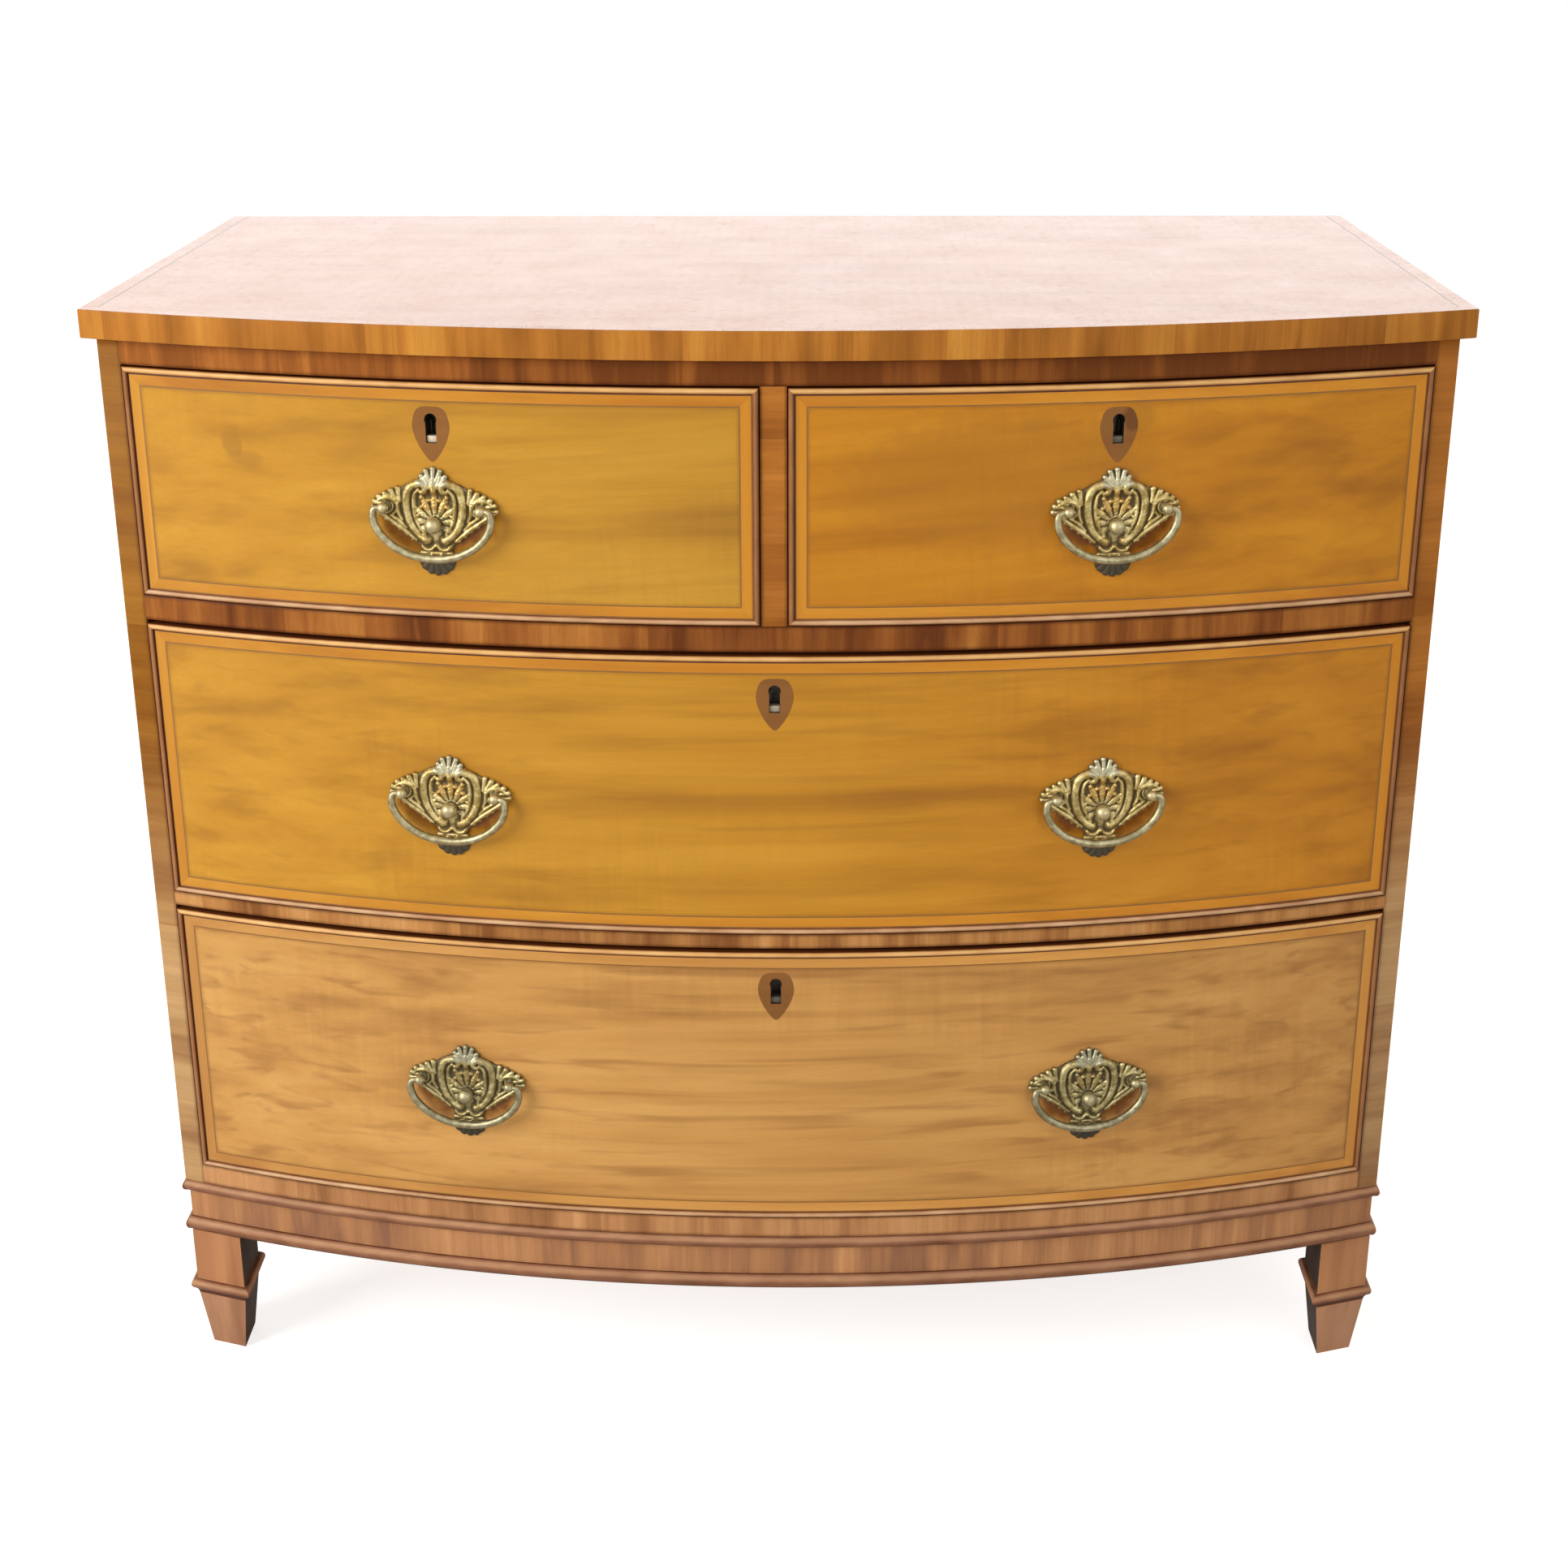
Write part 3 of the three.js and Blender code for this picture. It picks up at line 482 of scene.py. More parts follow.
def brass(name, bright, worn, grime, silver=None, gold=None, sooty=None, roughness=0.36):
    """Old brass: bright where hands rub it, dull between, and dark in its recesses. A cast
    piece stores its recesses in its mesh, and where it is silvery, golden or sooty; its silvery
    parts are tarnish with a painted reflection of the light."""
    finish = Finish(name)
    place = finish.place()
    cloud = finish.noise(place, 190, 3, 0.6)
    colour = finish.mix(finish.between(cloud, 0.35, 0.65), worn, bright)
    gloss = roughness + cloud * 0.15
    metal = 1.0
    if silver:
        tarnish = finish.stored("tarnish") + (cloud - 0.5) * 0.12
        for tint, start, end in ((gold, 0.45, 0.62), (sooty, 0.8, 0.95)):
            colour = finish.mix(finish.between(tarnish, start, end), colour, tint)
        colour = finish.mix(1 - finish.between(tarnish, 0.08, 0.25), colour, silver)
        dirt = finish.between(finish.stored("recess") + (cloud - 0.5) * 0.3, 0.3, 0.85)
        colour = finish.mix(dirt * 0.9, colour, grime)
        gloss = gloss + dirt * 0.3
        metal = 1 - dirt * 0.7
    speckle = finish.between(finish.noise(place, 900, 2), 0.56, 0.7)
    colour = finish.mix(speckle * 0.25, colour, grime)
    normal = finish.bump(finish.noise(place, 420, 3), 0.12 * MM, 0.35)
    return finish.surface(Base_Color=colour, Metallic=metal, Roughness=gloss, Normal=normal)


def lining(name, bright, dull):
    """The brass round a keyhole: painted black inside, as the shade within the hole, and pale
    where a key has rubbed it, which on the sill is also a painted sheen of light.
    """
    finish = Finish(name)
    # worn is the rubbed share, and on the sill a painted sheen
    worn = finish.stored("worn")
    cloud = finish.noise(finish.place(), 300, 3)
    colour = finish.mix(worn * (0.8 + cloud * 0.3), dull, bright)
    return finish.surface(Base_Color=colour, Metallic=worn * 0.2, Roughness=0.35 + cloud * 0.2)


def iron(name):
    """Old lock metal, dull and a little rusty."""
    finish = Finish(name)
    place = finish.place()
    cloud = finish.noise(place, 120, 4, 0.65)
    colour = finish.ramp(cloud, (0.35, srgb(74, 66, 56)), (0.55, srgb(120, 112, 100)),
                         (0.75, srgb(150, 126, 96)))
    normal = finish.bump(cloud, 0.2 * MM, 0.4)
    return finish.surface(Base_Color=colour, Metallic=0.8, Roughness=0.35 + cloud * 0.3,
                          Normal=normal)


WAX_TINT = srgb(128, 78, 20)  # of old polish along the inlay
DIRT_AND_SHADE_TINT = srgb(70, 30, 12)  # of dirt, and of painted shade, in the corners of the case beside the drawers and mouldings
JOINT_TINT = srgb(64, 44, 28)  # of the gaps between boards
JOINT_STRENGTH = 0.8
BAIL_SHADE_AND_DIRT_TINT = srgb(112, 52, 8)  # painted shadow of the bail and plate, with dirt, on the wood behind the bails
BAIL_SHADE_AND_DIRT_STRENGTH = 0.85
BAIL_SHADE_AND_DIRT_REACH = (46 * MM, 24 * MM)  # in X and Z
BAIL_SHADE_AND_DIRT_DROP = 13 * MM  # of its middle below the posts
PORE_DEPTH = 0.08 * MM

# The light, middle and dark tone of each wood
LEFT_TONES = (srgb(213, 158, 54), srgb(200, 144, 42), srgb(168, 115, 34))
RIGHT_TONES = (srgb(217, 156, 46), srgb(204, 141, 35), srgb(168, 110, 28))
UPPER_TONES = (srgb(213, 154, 46), srgb(200, 140, 35), srgb(168, 112, 28))
LOWER_TONES = (srgb(222, 168, 94), srgb(209, 153, 80), srgb(172, 118, 60))
BAND_TONES = (srgb(229, 161, 52), srgb(219, 148, 41), srgb(196, 123, 32))
LOWER_BAND_TONES = (srgb(232, 174, 98), srgb(220, 160, 82), srgb(194, 130, 60))
TOP_RAIL_TONES = (srgb(208, 134, 60), srgb(162, 96, 42), srgb(116, 64, 28))
RAIL_TONES = (srgb(190, 124, 58), srgb(156, 92, 42), srgb(108, 58, 28))
LOWER_RAIL_TONES = (srgb(214, 156, 96), srgb(186, 128, 72), srgb(138, 86, 46))
EDGE_TONES = (srgb(212, 146, 62), srgb(188, 120, 48), srgb(150, 92, 36))
STILE_TONES = (srgb(215, 172, 122), srgb(200, 157, 105), srgb(172, 126, 82))
MUNTIN_TONES = (srgb(198, 126, 54), srgb(176, 108, 44), srgb(136, 76, 32))
BOTTOM_RAIL_TONES = (srgb(214, 158, 106), srgb(194, 138, 90), srgb(154, 104, 66))
PLINTH_TONES = (srgb(212, 154, 104), srgb(184, 130, 88), srgb(146, 102, 78))
# The mouldings' light tone is their painted highlight, and their dark tone the painted shade in
# their corners
MOULDING_TONES = (srgb(196, 146, 108), srgb(152, 104, 76), srgb(92, 52, 32))
FOOT_TONES = (srgb(208, 154, 116), srgb(192, 139, 101), srgb(162, 111, 80))
TOP_TONES = (srgb(212, 148, 108), srgb(200, 134, 96), srgb(178, 112, 78))
SIDE_TONES = (srgb(198, 128, 70), srgb(174, 104, 54), srgb(124, 70, 36))
# Cockbead tones, lit and shaded copies of one wood: the level lengths highlit, the upper one most,
# and the uprights shaded
LOWER_BEAD_LIT_TONES = (srgb(232, 190, 146), srgb(168, 116, 74), srgb(92, 46, 20))
UPPER_BEAD_LIT_TONES = (srgb(250, 202, 130), srgb(206, 146, 84), srgb(98, 50, 20))
UPRIGHT_BEAD_SHADED_TONES = (srgb(186, 132, 88), srgb(150, 98, 60), srgb(92, 46, 20))
OAK_TONES = (srgb(190, 150, 100), srgb(166, 124, 78), srgb(120, 84, 50))
PINE_TONES = (srgb(204, 158, 104), srgb(184, 136, 84), srgb(142, 96, 56))
SHIELD_TONES = (srgb(158, 108, 54), srgb(146, 96, 48), srgb(120, 76, 38))
FOOT_SHADE_TONES = (srgb(84, 66, 54), srgb(66, 51, 41), srgb(46, 35, 28))

# Painted light and shade, as tints along an axis: the light dying away from the left across the
# bow, and the shade under the top on the stiles. Each holds an axis, two places along it, and the
# tints there
WHITE = srgb(255, 255, 255)
LEFT_LIGHT_FALLOFF = ("X", -0.45, -0.05, srgb(255, 249, 220), WHITE)
RIGHT_LIGHT_FALLOFF = ("X", 0.0, CASE_HALF, srgb(250, 232, 176), srgb(255, 238, 166))
UPPER_LIGHT_FALLOFF = ("X", -0.2, CASE_HALF, WHITE, srgb(255, 233, 178))
LOWER_LIGHT_FALLOFF = ("X", -CASE_HALF, CASE_HALF, WHITE, srgb(250, 246, 242))
BAND_LIGHT_FALLOFF = ("X", -CASE_HALF, CASE_HALF, srgb(238, 236, 240), srgb(255, 244, 216))
STILE_SHADE_UNDER_TOP = ("Z", 0.33, 0.62, WHITE, srgb(200, 168, 92))
RIGHT_STILE_SHADE_UNDER_TOP = ("Z", 0.38, 0.64, srgb(250, 250, 255), srgb(226, 181, 117))
# darker and yellower towards the top of the foot
FOOT_TOP_TINT = ("Z", 0.05, 0.075, WHITE, srgb(250, 240, 220))

# Knots and dark flecks in the drawer veneers and in the right shield: place and reach, both in
# X and Z, and strength
KNOTS = {
    "left_short": [((-0.4135, 0.834), (0.009, 0.013), 0.6),
                   ((-0.404, 0.822), (0.016, 0.006), 0.4)],
    "right_short": [((0.272, 0.860), (0.011, 0.013), 0.35),
                    ((0.165, 0.815), (0.13, 0.055), 0.4)],
    "right_shield": [((0.267, 0.861), (0.0085, 0.0115), 1.0),
                     ((0.268, 0.861), (0.005, 0.008), 0.7)],
}


def make_woods():
    """Every wooden finish of the chest, by name."""
    # Tones, seed, slant, smoke, ripple and axis tint of each drawer's field; the tint paints the
    # light dying away across the bow
    fields = {
        "left_short": (LEFT_TONES, 6.0, 3, 0.3, 0.15, LEFT_LIGHT_FALLOFF),
        "right_short": (RIGHT_TONES, 7.3, 4, 0.3, 0.15, RIGHT_LIGHT_FALLOFF),
        "upper_long": (UPPER_TONES, 8.1, 1, 0.45, 0.2, UPPER_LIGHT_FALLOFF),
        "lower_long": (LOWER_TONES, 9.7, 1, 0.8, 0.25, LOWER_LIGHT_FALLOFF),
    }
    woods = {}
    for name, (tones, seed, slant, smoke, ripple, axis_tint) in fields.items():
        woods[name] = wood(name + "_veneer", "X", tones, seed, slant, smoke=smoke,
                           ripple=ripple, axis_tint=axis_tint, dirtied_and_shaded=0.35,
                           bail_shade_and_dirt=handle_places(name + "_drawer"), knots=KNOTS.get(name, ()))
    for name, tones in (("band", BAND_TONES), ("lower_band", LOWER_BAND_TONES)):
        woods[name + "_across"] = wood(name + "ing_across", "X", tones, 10.0, axis_tint=BAND_LIGHT_FALLOFF)
        woods[name + "_up"] = wood(name + "ing_up", "Z", tones, 11.0, axis_tint=BAND_LIGHT_FALLOFF)
    woods.update({
        "top": wood("top_veneer", "X", TOP_TONES, 1.0, roughness=0.24, streak=0.8, gloss=0.5),
        "top_border_front": crossband("top_border_front", "X", "Y", TOP_TONES, 2.0, 0.09,
                                      roughness=0.24, spread=0.4, gloss=0.5),
        "top_border_side": crossband("top_border_side", "Y", "X", TOP_TONES, 3.0, 0.09,
                                     roughness=0.24, spread=0.4, gloss=0.5),
        # painted a little darker towards the right, where less light reaches
        "top_edge": crossband("top_edge", "XY", "Z", EDGE_TONES, 4.0, 0.05,
                              painted_shade=(-0.5, 0.3, 0.04)),
        "side": wood("side_veneer", "Z", SIDE_TONES, 5.0, roughness=0.3),
        "bead_below": beading("cockbead_below", "X", LOWER_BEAD_LIT_TONES, 12.0, 0.25),
        "bead_above": beading("cockbead_above", "X", UPPER_BEAD_LIT_TONES, 12.5, 0.25),
        "bead_up": beading("cockbead_up", "Z", UPRIGHT_BEAD_SHADED_TONES, 13.0, 0.1),
        # painted darker towards the middle, as the shade under the top's overhang
        "top_rail": crossband("top_rail_banding", "X", "Z", TOP_RAIL_TONES, 14.0,
                              painted_shade=(-0.45, 0.0, 0.28), dirtied_and_shaded=0.6),
        "middle_rail": crossband("rail_banding", "X", "Z", RAIL_TONES, 14.6, dirtied_and_shaded=0.7),
        "lower_rail": crossband("lower_rail_banding", "X", "Z", LOWER_RAIL_TONES, 14.9,
                                dirtied_and_shaded=0.6),
        "bottom_rail": crossband("bottom_rail_banding", "X", "Z", BOTTOM_RAIL_TONES, 15.2,
                                 spread=0.7, dirtied_and_shaded=0.5),
        "muntin": crossband("muntin_banding", "Z", "X", MUNTIN_TONES, 15.6, 0.09, spread=0.7,
                            dirtied_and_shaded=0.7),
        "left_stile": crossband("left_stile_banding", "Z", "X", STILE_TONES, 15.0, 0.09,
                                spread=1.8, axis_tint=STILE_SHADE_UNDER_TOP, dirtied_and_shaded=0.5),
        "right_stile": crossband("right_stile_banding", "Z", "X", STILE_TONES, 15.4, 0.09,
                                 spread=1.8, axis_tint=RIGHT_STILE_SHADE_UNDER_TOP, dirtied_and_shaded=0.5),
        "plinth": crossband("plinth_banding", "XY", "Z", PLINTH_TONES, 16.0, 0.07, spread=0.7,
                            dirtied_and_shaded=0.4),
        "moulding": beading("moulding", "X", MOULDING_TONES, 17.0, 0.12),
        "moulding_side": beading("moulding_side", "Y", MOULDING_TONES, 17.5, 0.12),
        "foot": wood("foot_veneer", "Z", FOOT_TONES, 18.0, gloss=0.2, axis_tint=FOOT_TOP_TINT),
        "foot_collar": beading("foot_collar", "X", MOULDING_TONES, 18.2, 0.12),
        "foot_inner_shade": wood("painted_foot_shade", "Z", FOOT_SHADE_TONES, 18.5, roughness=0.5),
        "shield": wood("shield_inlay", "X", SHIELD_TONES, 19.0, streak=0.5, pore=0.1, gloss=0.15),
        "right_shield": wood("right_shield_inlay", "X", SHIELD_TONES, 19.4, streak=0.5, pore=0.1,
                             gloss=0.15, knots=KNOTS["right_shield"]),
        "oak_x": wood("oak_across", "X", OAK_TONES, 20.0, roughness=0.6, pore=0.7, bump=1.0),
        "oak_y": wood("oak_along", "Y", OAK_TONES, 21.0, roughness=0.6, pore=0.7, bump=1.0),
        "pine_x": wood("pine_across", "X", PINE_TONES, 22.0, roughness=0.7, pore=0.1,
                       boards="Y"),
        "pine_z": wood("pine_upright", "Z", PINE_TONES, 23.0, roughness=0.7, pore=0.1,
                       boards="X"),
        "carcase": wood("carcase_wood", "X", SIDE_TONES, 24.0, roughness=0.5),
    })
    return woods


def make_finishes():
    """Every finish of the chest, by name."""
    finishes = make_woods()
    finishes.update({
        "string": plain_line("inlaid_string", srgb(146, 98, 38)),
        "top_string": plain_line("top_string", srgb(120, 88, 66), 0.3),
        "dark_wax_and_shade": plain_line("old_wax_and_shade", srgb(88, 42, 14), 0.6),
        "faint_wax_and_shade": plain_line("faint_wax_and_shade", srgb(150, 98, 46), 0.6),
        "plate": brass("handle_brass", srgb(220, 200, 142), srgb(172, 148, 88), srgb(72, 55, 24),
                       silver=srgb(188, 180, 148), gold=srgb(192, 158, 94),
                       sooty=srgb(92, 86, 72)),
        "plate_dull": brass("dull_handle_brass", srgb(200, 186, 136), srgb(150, 134, 88),
                            srgb(62, 50, 28), silver=srgb(166, 160, 132),
                            gold=srgb(158, 138, 90), sooty=srgb(80, 78, 68)),
        "bail": brass("bail_brass", srgb(190, 180, 144), srgb(152, 140, 104), srgb(78, 64, 38)),
        "bail_dull": brass("dull_bail_brass", srgb(174, 166, 134), srgb(136, 128, 98),
                           srgb(68, 60, 40)),
        "lining": lining("keyhole_lining", srgb(250, 230, 198), srgb(26, 18, 12)),
        "iron": iron("lock_metal"),
    })
    return finishes


# Modelling

def only(*pieces):
    """Selects these pieces alone; the first is the active one."""
    bpy.ops.object.select_all(action="DESELECT")
    for piece in pieces:
        piece.select_set(True)
    bpy.context.view_layer.objects.active = pieces[0]


def open_mesh(piece, action="SELECT"):
    """Enters edit mode, with all of a piece's vertices selected unless action says otherwise."""
    only(piece)
    bpy.ops.object.mode_set(mode="EDIT")
    bpy.ops.mesh.select_mode(type="VERT")
    bpy.ops.mesh.select_all(action=action)


def close_mesh():
    bpy.ops.object.mode_set(mode="OBJECT")


def pick_faces(piece, test):
    """In edit mode, selects the faces whose middle and normal pass a test."""
    bpy.ops.mesh.select_mode(type="FACE")
    bpy.ops.mesh.select_all(action="DESELECT")
    mesh = bmesh.from_edit_mesh(piece.data)
    for face in mesh.faces:
        if test(face.calc_center_median(), face.normal):
            face.select_set(True)
    bmesh.update_edit_mesh(piece.data)


def outline_piece(name, points):
    """A flat face with the given outline, as the start of a piece."""
    bpy.ops.mesh.primitive_circle_add(vertices=len(points), fill_type="NGON")
    piece = bpy.context.object
    piece.name = name
    for vertex, point in zip(piece.data.vertices, points):
        vertex.co = point
    return piece


def trim(piece, point, normal):
    """Saws off what lies beyond a plane, on the side that its normal points to."""
    open_mesh(piece)
    bpy.ops.mesh.bisect(plane_co=point, plane_no=normal, use_fill=True, clear_outer=True)
    close_mesh()


def face_outwards(piece):
    open_mesh(piece)
    bpy.ops.mesh.normals_make_consistent(inside=False)
    close_mesh()


def strip_on_bow(name, profile, x0, x1):
    """A strip spun along the bow from x0 to x1. profile holds steps out from the bow and
    heights."""
    low = math.asin(x0 / BOW_RADIUS) - SPIN_MARGIN
    high = math.asin(x1 / BOW_RADIUS) + SPIN_MARGIN
    points = []
    for out, height in profile:
        reach = BOW_RADIUS + out
        points.append((reach * math.sin(low), BOW_CENTRE_Y - reach * math.cos(low), height))
    piece = outline_piece(name, points)
    steps = max(2, math.ceil(abs(x1 - x0) / BOW_STEP))
    open_mesh(piece)
    bpy.ops.mesh.spin(steps=steps, angle=low - high, center=(0, BOW_CENTRE_Y, 0), axis=(0, 0, 1))
    close_mesh()
    trim(piece, (x0, 0, 0), (-1, 0, 0))
    trim(piece, (x1, 0, 0), (1, 0, 0))
    face_outwards(piece)
    return piece


def extruded(name, points, step):
    """A solid whose flat outline is drawn out by a step."""
    piece = outline_piece(name, points)
    open_mesh(piece)
    bpy.ops.mesh.extrude_region_move(TRANSFORM_OT_translate={"value": step})
    close_mesh()
    face_outwards(piece)
    return piece


def upright(name, outline, low, high):
    """A length with the given outline in X and Y, extruded upwards."""
    return extruded(name, [(x, y, low) for x, y in outline], (0, 0, high - low))


def plate_piece(name, outline, front, back):
    """A plate with an outline in X and Z, from its front face to its back face along Y."""
    return extruded(name, [(x, front, z) for x, z in outline], (0, back - front, 0))


def joined(name, pieces):
    only(*pieces)
    if len(pieces) > 1:
        bpy.ops.object.join()
    pieces[0].name = name
    pieces[0].data.name = name
    return pieces[0]


def paint(piece, *finishes):
    piece.data.materials.clear()
    for finish in finishes:
        piece.data.materials.append(finish)
    return piece


def apply_modifier(piece, kind, **settings):
    only(piece)
    modifier = piece.modifiers.new(kind.lower(), kind)
    for name, value in settings.items():
        setattr(modifier, name, value)
    bpy.ops.object.modifier_apply(modifier=modifier.name)


def soften(piece, width, segments=2, angle=30):
    """Rounds the sharp arrises."""
    apply_modifier(piece, "BEVEL", width=width, segments=segments, limit_method="ANGLE",
                   angle_limit=math.radians(angle), harden_normals=False)


def smooth(piece, angle=30):
    only(piece)
    bpy.ops.object.shade_smooth_by_angle(angle=math.radians(angle))
    return piece


def carve(piece, cutter):
    """Cuts one piece's shape out of another, and takes the cutter away."""
    apply_modifier(piece, "BOOLEAN", object=cutter, operation="DIFFERENCE", solver="EXACT")
    bpy.data.objects.remove(cutter, do_unlink=True)


def mark(piece, name, value):
    """Stores a value for each vertex, worked out from its place, for the finish to read."""
    layer = piece.data.attributes.new(name, "FLOAT", "POINT")
    for vertex, stored in zip(piece.data.vertices, layer.data):
        stored.value = value(vertex.co)


def edge_dirt_and_shade(piece, left=None, right=None, low=None, high=None):
    """Marks the dirt and painted shade along the given edges of a piece, after a cut beside each
    of them.
    """
    edges = [(0, 1, left), (0, -1, right), (2, 1, low), (2, -1, high)]
    edges = [(axis, inwards, edge) for axis, inwards, edge in edges if edge is not None]
    open_mesh(piece)
    for axis, inwards, edge in edges:
        point = [0, 0, 0]
        point[axis] = edge + inwards * DIRT_AND_SHADE_REACH
        normal = [0, 0, 0]
        normal[axis] = 1
        bpy.ops.mesh.select_all(action="SELECT")
        bpy.ops.mesh.bisect(plane_co=point, plane_no=normal)
    close_mesh()

    def soil(place):
        near = min(inwards * (place[axis] - edge) for axis, inwards, edge in edges)
        return 1 - min(max(near / DIRT_AND_SHADE_REACH, 0), 1)
    mark(piece, "soil", soil)


def seat(piece, body, slot, *nodes):
    """Fixes a finished piece to its body and hides the nodes that it stands for. slot is not used.
    """
    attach(piece, body)
    if nodes:
        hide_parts(*nodes)
    return piece


def copy_of_node(node, name):
    """A merged copy of one of the frame's pieces."""
    piece = NODES[node].copy()
    piece.data = NODES[node].data.copy()
    piece.parent = None
    for key in list(piece.keys()):
        del piece[key]
    bpy.context.scene.collection.objects.link(piece)
    piece.name = name
    open_mesh(piece)
    bpy.ops.mesh.remove_doubles(threshold=TOLERANCE)
    bpy.ops.mesh.dissolve_limited(angle_limit=math.radians(SAME_PLANE))
    close_mesh()
    return piece


def local_frame(x, z):
    """The matrix that stands a piece's X and Z in the bowed front at x, with -Y straight out."""
    turn = Matrix.Rotation(math.asin(x / BOW_RADIUS), 4, "Z")
    return Matrix.Translation((x, bow_y(x), z)) @ turn


def moved(piece, matrix):
    piece.data.transform(matrix)
    piece.data.update()
    return piece


# Mitred work round a drawer front

def mitred_frame(name, drawer, section, finishes, wear_and_highlight=None):
    """Four mitred lengths round a drawer front. section holds points inwards from the
    front's edge and out from the bow, and finishes those of the lengths below, above, on the
    left and on the right. wear_and_highlight gives the share at a place of a length that is
    rubbed pale and painted as a highlight."""
    left, right, low, high = drawer["edges"]
    below, above, on_left, on_right = finishes
    lengths = []
    for edge, inwards, finish in ((low, 1, below), (high, -1, above)):
        profile = [(out, edge + inwards * depth) for depth, out in section]
        length = strip_on_bow(name, profile, left, right)
        trim(length, (left, 0, edge), (-1, 0, inwards))
        trim(length, (right, 0, edge), (1, 0, inwards))
        if wear_and_highlight:
            mark(length, "worn", wear_and_highlight(edge + inwards * BEAD_THICKNESS / 2))
        lengths.append(paint(length, finish))
    for edge, inwards, finish in ((left, 1, on_left), (right, -1, on_right)):
        places = [(edge + inwards * depth, out) for depth, out in section]
        outline = [(x, bow_y(x, out)) for x, out in places]
        length = upright(name, outline, low, high)
        trim(length, (edge, 0, low), (inwards, 0, -1))
        trim(length, (edge, 0, high), (inwards, 0, 1))
        if wear_and_highlight:
            mark(length, "worn", wear_and_highlight(None))
        lengths.append(paint(length, finish))
    return smooth(joined(name, lengths))


def bead_wear_and_highlight(middle):
    """How much a length of cockbead whose middle is at a height, or an upright one, is rubbed and
    painted with a highlight: most on its nose, and on a level length most on its upper side.
    """
    def share(place):
        out = min(max(distance_out(place) / BEAD_PROUD, 0), 1)
        if middle is None:
            return out * UPRIGHT_WEAR_AND_HIGHLIGHT
        up = (place.z - middle) / (BEAD_THICKNESS / 2)
        return out * (1 - LEVEL_HIGHLIGHT_SPAN + LEVEL_HIGHLIGHT_SPAN * up)
    return share


def flat_section(start, width, proud):
    return [(start, -VENEER_SUNK), (start + width, -VENEER_SUNK),
            (start + width, proud), (start, proud)]


def bead_section():
    """The cockbead: square behind, with a half round nose."""
    half = BEAD_THICKNESS / 2
    points = [(BEAD_THICKNESS, -BEAD_SUNK), (0, -BEAD_SUNK)]
    for i in range(BEAD_ARC_STEPS + 1):
        angle = math.pi * i / BEAD_ARC_STEPS
        points.append((half - half * math.cos(angle), BEAD_PROUD - half + half * math.sin(angle)))
    return points


def keyhole_outline(grow=0.0):
    """A keyhole in X and Z about the middle of its round part."""
    radius = KEYHOLE_RADIUS + grow
    half = KEYHOLE_SLOT / 2 + grow
    start = math.asin(half / radius)
    points = []
    for i in range(KEYHOLE_ARC_STEPS + 1):
        angle = start + (2 * math.pi - 2 * start) * i / KEYHOLE_ARC_STEPS
        points.append((radius * math.sin(angle), -radius * math.cos(angle)))
    end = KEYHOLE_RADIUS - KEYHOLE_HEIGHT - grow
    return points + [(-half, end), (half, end)]


# Half outline of the escutcheon from the middle of its top to its point, as shares of half its
# width and of its height
SHIELD_SHARES = [
    (0, 0), (0.3, 0.0), (0.54, 0.014), (0.72, 0.055), (0.86, 0.13), (0.96, 0.24), (1.0, 0.35),
    (0.96, 0.46), (0.86, 0.575), (0.7, 0.7), (0.5, 0.82), (0.28, 0.925), (0.12, 0.98), (0, 1),
]


def shield_outline():
    half = [(x * ESCUTCHEON_WIDTH / 2, -z * ESCUTCHEON_HEIGHT) for x, z in SHIELD_SHARES]
    return half + [(-x, z) for x, z in half[-2:0:-1]]


def keyhole_cutter(drawer, depth):
    cutter = plate_piece("keyhole_cutter", keyhole_outline(), -CUT_OVERRUN, depth)
    return moved(cutter, drawer["keyhole"])


def add_escutcheon(drawer):
    piece = plate_piece(drawer["name"] + "_escutcheon", shield_outline(), -ESCUTCHEON_PROUD,
                        VENEER_SUNK)
    moved(piece, Matrix.Translation((0, 0, KEYHOLE_DROP - ESCUTCHEON_DROP)))
    moved(piece, drawer["keyhole"])
    carve(piece, keyhole_cutter(drawer, CUT_OVERRUN))
    soften(piece, ESCUTCHEON_ARRIS, 1, 40)
    smooth(piece)
    paint(piece, FINISH[drawer["shield"]])
    seat(piece, drawer["name"], "drawer_veneer")


def add_liner(drawer):
    """The thin brass lining of the keyhole, painted black as the shade within, and the sill at its
    foot that keys have rubbed, painted pale with a sheen of light.
    """
    name = drawer["name"] + "_keyhole_liner"
    wall = plate_piece(name, keyhole_outline(), LINER_SETBACK, LINER_DEPTH)
    bore = plate_piece("bore", keyhole_outline(-LINER_WALL), -CUT_OVERRUN,
                       LINER_DEPTH + CUT_OVERRUN)
    carve(wall, bore)
    # the wall is painted black, as the shade within the hole
    mark(wall, "worn", lambda place: 0.0)
    half = (KEYHOLE_SLOT - LINER_WALL) / 2
    foot = KEYHOLE_RADIUS - KEYHOLE_HEIGHT + LINER_WALL / 2
    top = foot + SILL_HEIGHT
    sill = plate_piece("sill", [(-half, foot), (half, foot), (half, top), (-half, top)],
                       SILL_SETBACK, LINER_DEPTH / 2)
    soften(sill, SILL_ROUNDING)
    mark(sill, "worn", lambda place: drawer["sill_wear_and_sheen"])
    piece = joined(name, [wall, sill])
    moved(piece, drawer["keyhole"])
    smooth(piece)
    paint(piece, FINISH["lining"])
    seat(piece, drawer["name"], "handle_brass")


